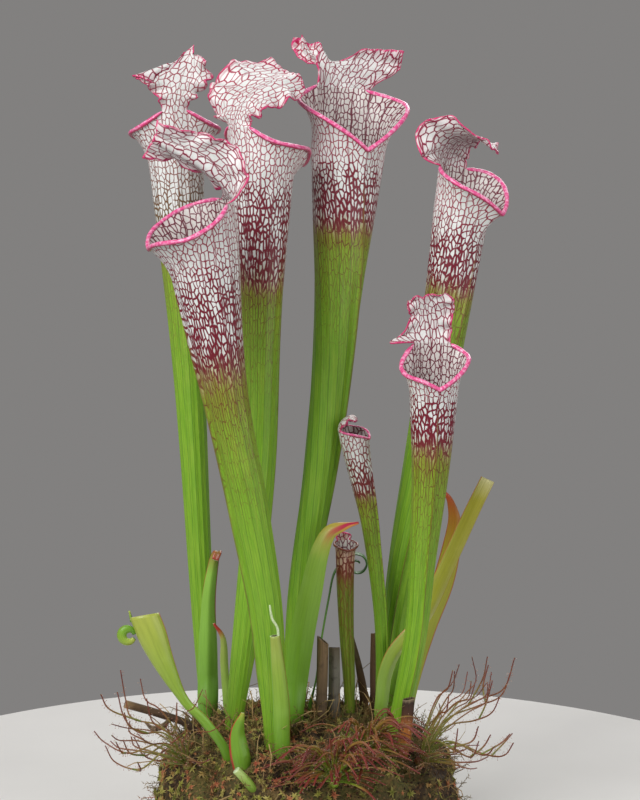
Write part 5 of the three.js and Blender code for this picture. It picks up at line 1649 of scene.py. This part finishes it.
def bent_straw():
    """A dry bent strand with three sides."""
    bends = [(0, 0, -1), (1.5, 0.6, 6), (4.5, 0.4, 12), (9.5, -0.8, 16), (15, -1, 17)]
    points, faces = [], []
    for i, (x, y, z) in enumerate(bends):
        for a in range(3):
            points.append((x + 0.32 * math.sin(2.1 * a), y + 0.32 * math.cos(2.1 * a), z))
        if i:
            n = 3 * i
            for a in range(3):
                b = (a + 1) % 3
                faces.append((n - 3 + a, n + a, n + b, n - 3 + b))
    faces += [(0, 1, 2), (14, 13, 12)]
    return points, faces, [z / 17 for _, _, z in points]


def crumb():
    """A lump of peat with eight faces."""
    points = [
        (1.1, 0.2, 0), (-0.9, 0.1, 0.1), (0.1, 1, -0.1), (0, -1.2, 0.1), (0.1, 0, 0.9), (0, 0.1, -0.8),
    ]
    return points, EIGHT_FACES, [0.5] * 6


def sticky_hair():
    """A short hair with a drop of dew at its end."""
    r, z = DEW_RADIUS, HAIR_HEIGHT
    drop = [(r, 0, z), (-r, 0, z), (0, r, z), (0, -r, z), (0, 0, z + r), (0, 0, z - r)]
    return joined([(*spike((0, 0, -0.1), (0, 0, z), 0.14), 0.0), (drop, EIGHT_FACES, 1.0)])


def shape(name, made):
    """A small mesh in millimetres, with a mark for each point, that the scatter tree repeats."""
    points, faces, marks = made
    mesh = bpy.data.meshes.new(name)
    mesh.from_pydata((np.asarray(points, float) * MM).tolist(), [], faces)
    mark_points(mesh, "mark", marks)
    return bpy.data.objects.new(name, mesh)


print("faces of a moss head:", len(moss_head()[1]), "and of a sticky hair:", len(sticky_hair()[1]))

# %% Scattered finishes
def tinted_finish(name, stops, tip, tip_share=0.5, rough=0.8, coat=0.0):
    """Each copy has its own colour from a ramp, and its ends turn to another."""
    s = Shader(name)
    fine = s.noise(s.place(), 900, 2)
    colour = s.ramp(s.attribute("tint"), stops)
    colour = s.mix(s.attribute("mark").between(0.3, 1) * tip_share, colour, tip)
    colour = s.mix(fine.between(0.4, 0.75) * 0.35, colour, (40, 30, 22))
    return s.finish(colour, rough, fine, 0.2, coat)


green_heads = tinted_finish("moss_heads", [
    (0, (96, 104, 38)), (0.3, (150, 150, 60)), (0.55, (170, 160, 84)),
    (0.75, (178, 116, 76)), (1, (168, 84, 60)),
], (196, 176, 112))
brown_stalks = tinted_finish("moss_stalks", [
    (0, (66, 48, 30)), (0.3, (104, 80, 46)), (0.6, (120, 104, 54)), (0.85, (92, 100, 44)),
    (1, (150, 70, 50)),
], (164, 140, 84))
dry_straws = tinted_finish("straws", [
    (0, (92, 66, 40)), (0.4, (146, 116, 72)), (0.8, (186, 160, 108)), (1, (70, 46, 32)),
], (176, 144, 92), 0.3)
peat_crumbs = tinted_finish("peat", [
    (0, (36, 26, 18)), (0.5, (64, 46, 30)), (1, (110, 78, 48)),
], (60, 44, 28), 0.2, 0.95)

# %% Scatter the moss
ground = np.concatenate(moss_surface.points)
beside = np.concatenate([room_beside(part) for part in np.array_split(ground, 12)])
high_up = smooth(ground[:, 2], 6, 30)
well_inside = 1 - smooth(ground[:, 1], 60, 78)
clear = smooth(beside, 1.0, 2.5)
patches = 0.5 + 0.5 * np.sin(0.07 * ground[:, 0] + 1) * np.sin(0.09 * ground[:, 1] - 0.4)
leftward = smooth(-ground[:, 0], -70, 30)
near_leaves = 1 - smooth(beside, 5, 34)
open_ground = clear * high_up

scatter(
    "moss_heads", moss_surface, open_ground * (0.25 + 0.75 * leftward) * (0.55 + 0.45 * patches),
    shape("head", moss_head()), green_heads, "moss",
    Distance=0.0034, Density=90000.0, Lean=0.45, Smallest=0.75, Largest=1.6, Seed=11,
)
scatter(
    "moss_stalks", moss_surface, open_ground * (0.25 + 0.75 * near_leaves) * well_inside,
    shape("stalk", moss_stalk()), brown_stalks, "moss",
    Distance=0.003, Density=42000.0, Lean=0.55, Smallest=0.55, Largest=1.25, Seed=12,
)
scatter(
    "straws", moss_surface, open_ground * (0.15 + 0.85 * near_leaves) * well_inside,
    shape("straw", bent_straw()), dry_straws, "moss",
    Distance=0.004, Density=13000.0, Lean=0.7, Smallest=0.5, Largest=1.5, Seed=13,
)
scatter(
    "peat_crumbs", moss_surface, clear * smooth(ground[:, 2], 1, 5), shape("crumb", crumb()), peat_crumbs,
    "moss", Distance=0.002, Density=50000.0, Lean=1.5, Smallest=0.6, Largest=1.5, Seed=14,
)

# %% [markdown]
# ## The rootstock
# The living leaves grow from a branched rootstock inside the mound. It can't be seen, and the solid
# has its shape, so it only gets a bark finish.

# %% Rhizome finish
def bark_finish():
    s = Shader("rhizome_bark")
    place = s.place()
    rings = s.noise(place, 160, 4)
    fine = s.noise(place, 700, 4)
    colour = s.mix(rings.between(0.35, 0.65), (84, 58, 36), (132, 96, 62))
    colour = s.mix(fine.between(0.5, 0.75) * 0.5, colour, (48, 32, 22))
    return s.finish(colour, 0.85, rings + fine * 0.5, 0.6)


rhizome = bpy.data.objects["rhizome"]
bark = bark_finish()
for k in range(len(rhizome.material_slots)):
    rhizome.material_slots[k].material = bark
print("rootstock finished, slots:", len(rhizome.material_slots))

# %% [markdown]
# ## The sundews
# Thread-leaved sundews grow in the same moss. Each arm is a thin stalk that climbs, forks and bends
# over, and is covered with hairs that end in sticky drops. The two front clumps are rosettes of
# short narrow leaves. The arms follow the same seeded rule as the solids, with rounder sections.
# More threads and rosette leaves grow between them, and the scatter tree puts the hairs on.

# %% Sundew sizes
SUNDEWS = {
    "sundew_left": dict(up=0.5, bearing=212, arms=6, fan=[150, 250], reach=[42, 68], rise=[6, 66],
                        fork=True, seed=5, more=16),
    "sundew_right": dict(up=0.5, bearing=336, arms=7, fan=[-48, 34], reach=[40, 74], rise=[4, 70],
                         fork=True, seed=12, more=20),
    "sundew_front": dict(up=0.52, bearing=284, arms=8, fan=[205, 335], reach=[26, 44], rise=[8, 26],
                         fork=False, seed=21, more=84),
    "sundew_centre": dict(up=0.62, bearing=308, arms=8, fan=[236, 352], reach=[28, 46], rise=[14, 30],
                          fork=False, seed=33, more=84),
}
CROWN_LIFT = 1.2
CROWN_RADIUS = 3.9
CROWN_TILT = 1.45
FORK = (0.66, 0.72, 0.24)
THREAD = [0.72, 0.62, 0.55, 0.4]
LEAF = [0.42, 0.5, 0.5, 0.26]
LEAF_WIDTH = 2.4
MORE_THREADS = dict(
    reach=(22, 62), rise=(0, 60), sway=0.5, droop=0,
    shares=[(0, 0, 0), (0.3, 0.5, 0), (0.62, 0.8, 0.4), (0.88, 0.9, 0.9), (1, 1.15, 1.4)],
)
MORE_LEAVES = dict(
    reach=(14, 50), rise=(3, 36), sway=0.35, droop=9,
    shares=[(0, 0, 0), (0.3, 0.7, 0), (0.68, 1, 0.45), (1, 0.85, 1)],
)
WIDER_FAN = 35
TRIES = 12
LEAST_ROOM = 1.6


def seeded(seed):
    """The small random sequence that the solids use too."""
    state = seed * 2654435761 % 4294967296
    while True:
        state = (state * 1664525 + 1013904223) % 4294967296
        yield state / 4294967296


def reached(crown, angle, reach, share, up):
    """The place at a share of an arm's reach, at a height over the crown."""
    return crown + [math.cos(angle) * reach * share, math.sin(angle) * reach * share, up]


def arm_points(s, crown, draw, i):
    """The path of arm number i, and a second path where it forks."""
    place = (i + 0.2 + 0.6 * next(draw)) / s["arms"]
    bearing = math.radians(s["fan"][0] + (s["fan"][1] - s["fan"][0]) * place)
    reach = s["reach"][0] + (s["reach"][1] - s["reach"][0]) * next(draw)
    rise = s["rise"][0] + (s["rise"][1] - s["rise"][0]) * next(draw)
    sway = 0.25 * (next(draw) - 0.5)

    def out(share, up, turn=0.0):
        return reached(crown, bearing + turn, reach, share, up)

    if not s["fork"]:
        return [[crown, out(0.5, rise * 0.75 + 6), out(1, rise, sway)]]
    fork = out(FORK[0], rise * FORK[1], sway)

    def prong(way):
        lift = 16 * (0.4 + 0.6 * next(draw))
        return [out(0.86, rise * 0.86 + 3, sway + way), out(0.96, rise * 1.05 + lift, sway + way * 1.15)]

    arm = [crown, out(0.3, 12 + rise * 0.3), fork, *prong(-FORK[2])]
    path = Path(arm)
    steps = path.at(np.linspace(0, path.length, len(arm) + 2))
    start = steps[np.argmin(np.linalg.norm(steps - fork, axis=1))]
    return [arm, [start, *prong(FORK[2])]]


print("sundews:", len(SUNDEWS), "arms:", sum(s["arms"] for s in SUNDEWS.values()))

# %% Sundew shapes
def crown_ball(surface, crown):
    """The low crown that the arms grow from."""
    turn = around(24)
    tilt = np.linspace(-CROWN_TILT, CROWN_TILT, 12)
    ring = np.cos(tilt)[:, None, None] * np.stack([np.cos(turn), np.sin(turn), 0 * turn], -1)[None]
    ball = ring + np.sin(tilt)[:, None, None] * np.array([0, 0, 1.0])
    size = CROWN_RADIUS * (1 + 0.12 * np.sin(5 * turn)[None, :, None] * np.cos(3 * tilt)[:, None, None])
    closed_loft(surface, crown + ball * size, turn / math.pi - 1, tilt + CROWN_TILT)


def extra_arm(random, crown, fan, kind):
    """A thin thread with a curled end, or a narrow rosette leaf that arches and droops a little."""
    angle = math.radians(random.uniform(*fan))
    reach, rise = random.uniform(*kind["reach"]), random.uniform(*kind["rise"])
    sway = random.uniform(-kind["sway"], kind["sway"])
    droop = random.uniform(0, kind["droop"]) if kind["droop"] else 0
    return [
        reached(crown, angle + sway * swing, reach, share, rise * up - droop * share**2)
        for share, up, swing in kind["shares"]
    ]


def fits(points, low, high):
    """Whether a path stays clear of the leaves, above the moss and inside the solids' box."""
    path = Path(points)
    line = path.at(np.linspace(path.length * 0.2, path.length, 14))
    inside = (line > low).all() and (line < high).all()
    reach = np.hypot(*(line[:, :2] - MOUND["centre"]).T)
    profile = np.array(MOUND["profile"][:1:-1], float)
    top = np.interp(reach, profile[:, 0], profile[:, 1], right=-50)
    return inside and room_beside(line).min() > LEAST_ROOM and (line[:, 2] > top - 1).all()


def sundew(name, s):
    surface = Surface()
    crown = mound_point(s["up"], math.radians(s["bearing"])) + [0, 0, CROWN_LIFT]
    crown_ball(surface, crown)
    draw = seeded(s["seed"])
    radius, squash, kind = (THREAD, 1.0, MORE_THREADS) if s["fork"] else (LEAF, LEAF_WIDTH, MORE_LEAVES)
    for i in range(s["arms"]):
        for points in arm_points(s, crown, draw, i):
            strand(surface, points, radius, 8, squash, steps=34)
    random = np.random.default_rng(s["seed"])
    low, high = np.array(cad_low) / MM, np.array(cad_high) / MM
    grown = 0
    fan = [s["fan"][0] - WIDER_FAN, s["fan"][1] + WIDER_FAN]
    for _ in range(s["more"] * TRIES):
        if grown == s["more"]:
            break
        points = extra_arm(random, crown, fan, kind)
        if not fits(points, low, high):
            continue
        grown += 1
        thin = random.uniform(0.75, 1.1)
        strand(surface, points, [r * thin for r in radius], 6, squash, steps=20)
    print(name, "has", grown, "more arms")
    return surface


# %% Sundew finishes
def sundew_finish(name, stops):
    s = Shader(name)
    side, share, _ = s.split(s.uv("zone"))
    patch = s.noise(s.place(), 45, 3)
    fine = s.noise(s.place(), 420, 3)
    colour = s.ramp(share + (patch - 0.5) * 0.7, stops)
    dead = s.noise(s.place(), 18, 2).between(0.6, 0.7)
    colour = s.mix(dead * share.between(0.3, 0.9) * 0.7, colour, (70, 34, 28))
    colour = s.mix(fine.between(0.45, 0.75) * 0.2, colour, (110, 40, 34))
    return s.finish(colour, 0.5, fine, 0.12, 0.05)


def dew_finish():
    s = Shader("dew_hairs")
    drop = s.attribute("mark").between(0.4, 0.8)
    tint = s.attribute("tint")
    hair = s.mix(tint, (112, 34, 32), (160, 104, 56))
    colour = s.mix(drop * 0.7, hair, s.mix(tint, (176, 110, 92), (214, 190, 170)))
    return s.finish(colour, 0.5 - drop * 0.35, coat=0.3)


THREAD_STOPS = [
    (0, (96, 122, 44)), (0.35, (126, 122, 52)), (0.65, (128, 80, 46)), (1, (104, 42, 34)),
]
LEAF_STOPS_SUNDEW = [
    (0, (112, 172, 44)), (0.35, (138, 166, 54)), (0.6, (142, 110, 50)), (0.85, (118, 46, 38)),
]
thread_finish = sundew_finish("sundew_threads", THREAD_STOPS)
narrow_leaf_finish = sundew_finish("sundew_leaves", LEAF_STOPS_SUNDEW)
dew = dew_finish()
for name, s in SUNDEWS.items():
    surface = sundew(name, s)
    finish = thread_finish if s["fork"] else narrow_leaf_finish
    piece = surface.piece(name + "_arms", [finish], "sundew_red")
    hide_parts(name)
    scatter(
        name + "_dew", surface, 1.0, shape("hair", sticky_hair()), dew, "sundew_red",
        Distance=0.0011, Density=420000.0 if s["fork"] else 130000.0, Lean=0.35, Smallest=0.7, Largest=1.2,
        Seed=s["seed"],
    )
    print(name, "has", triangles(piece), "triangles")
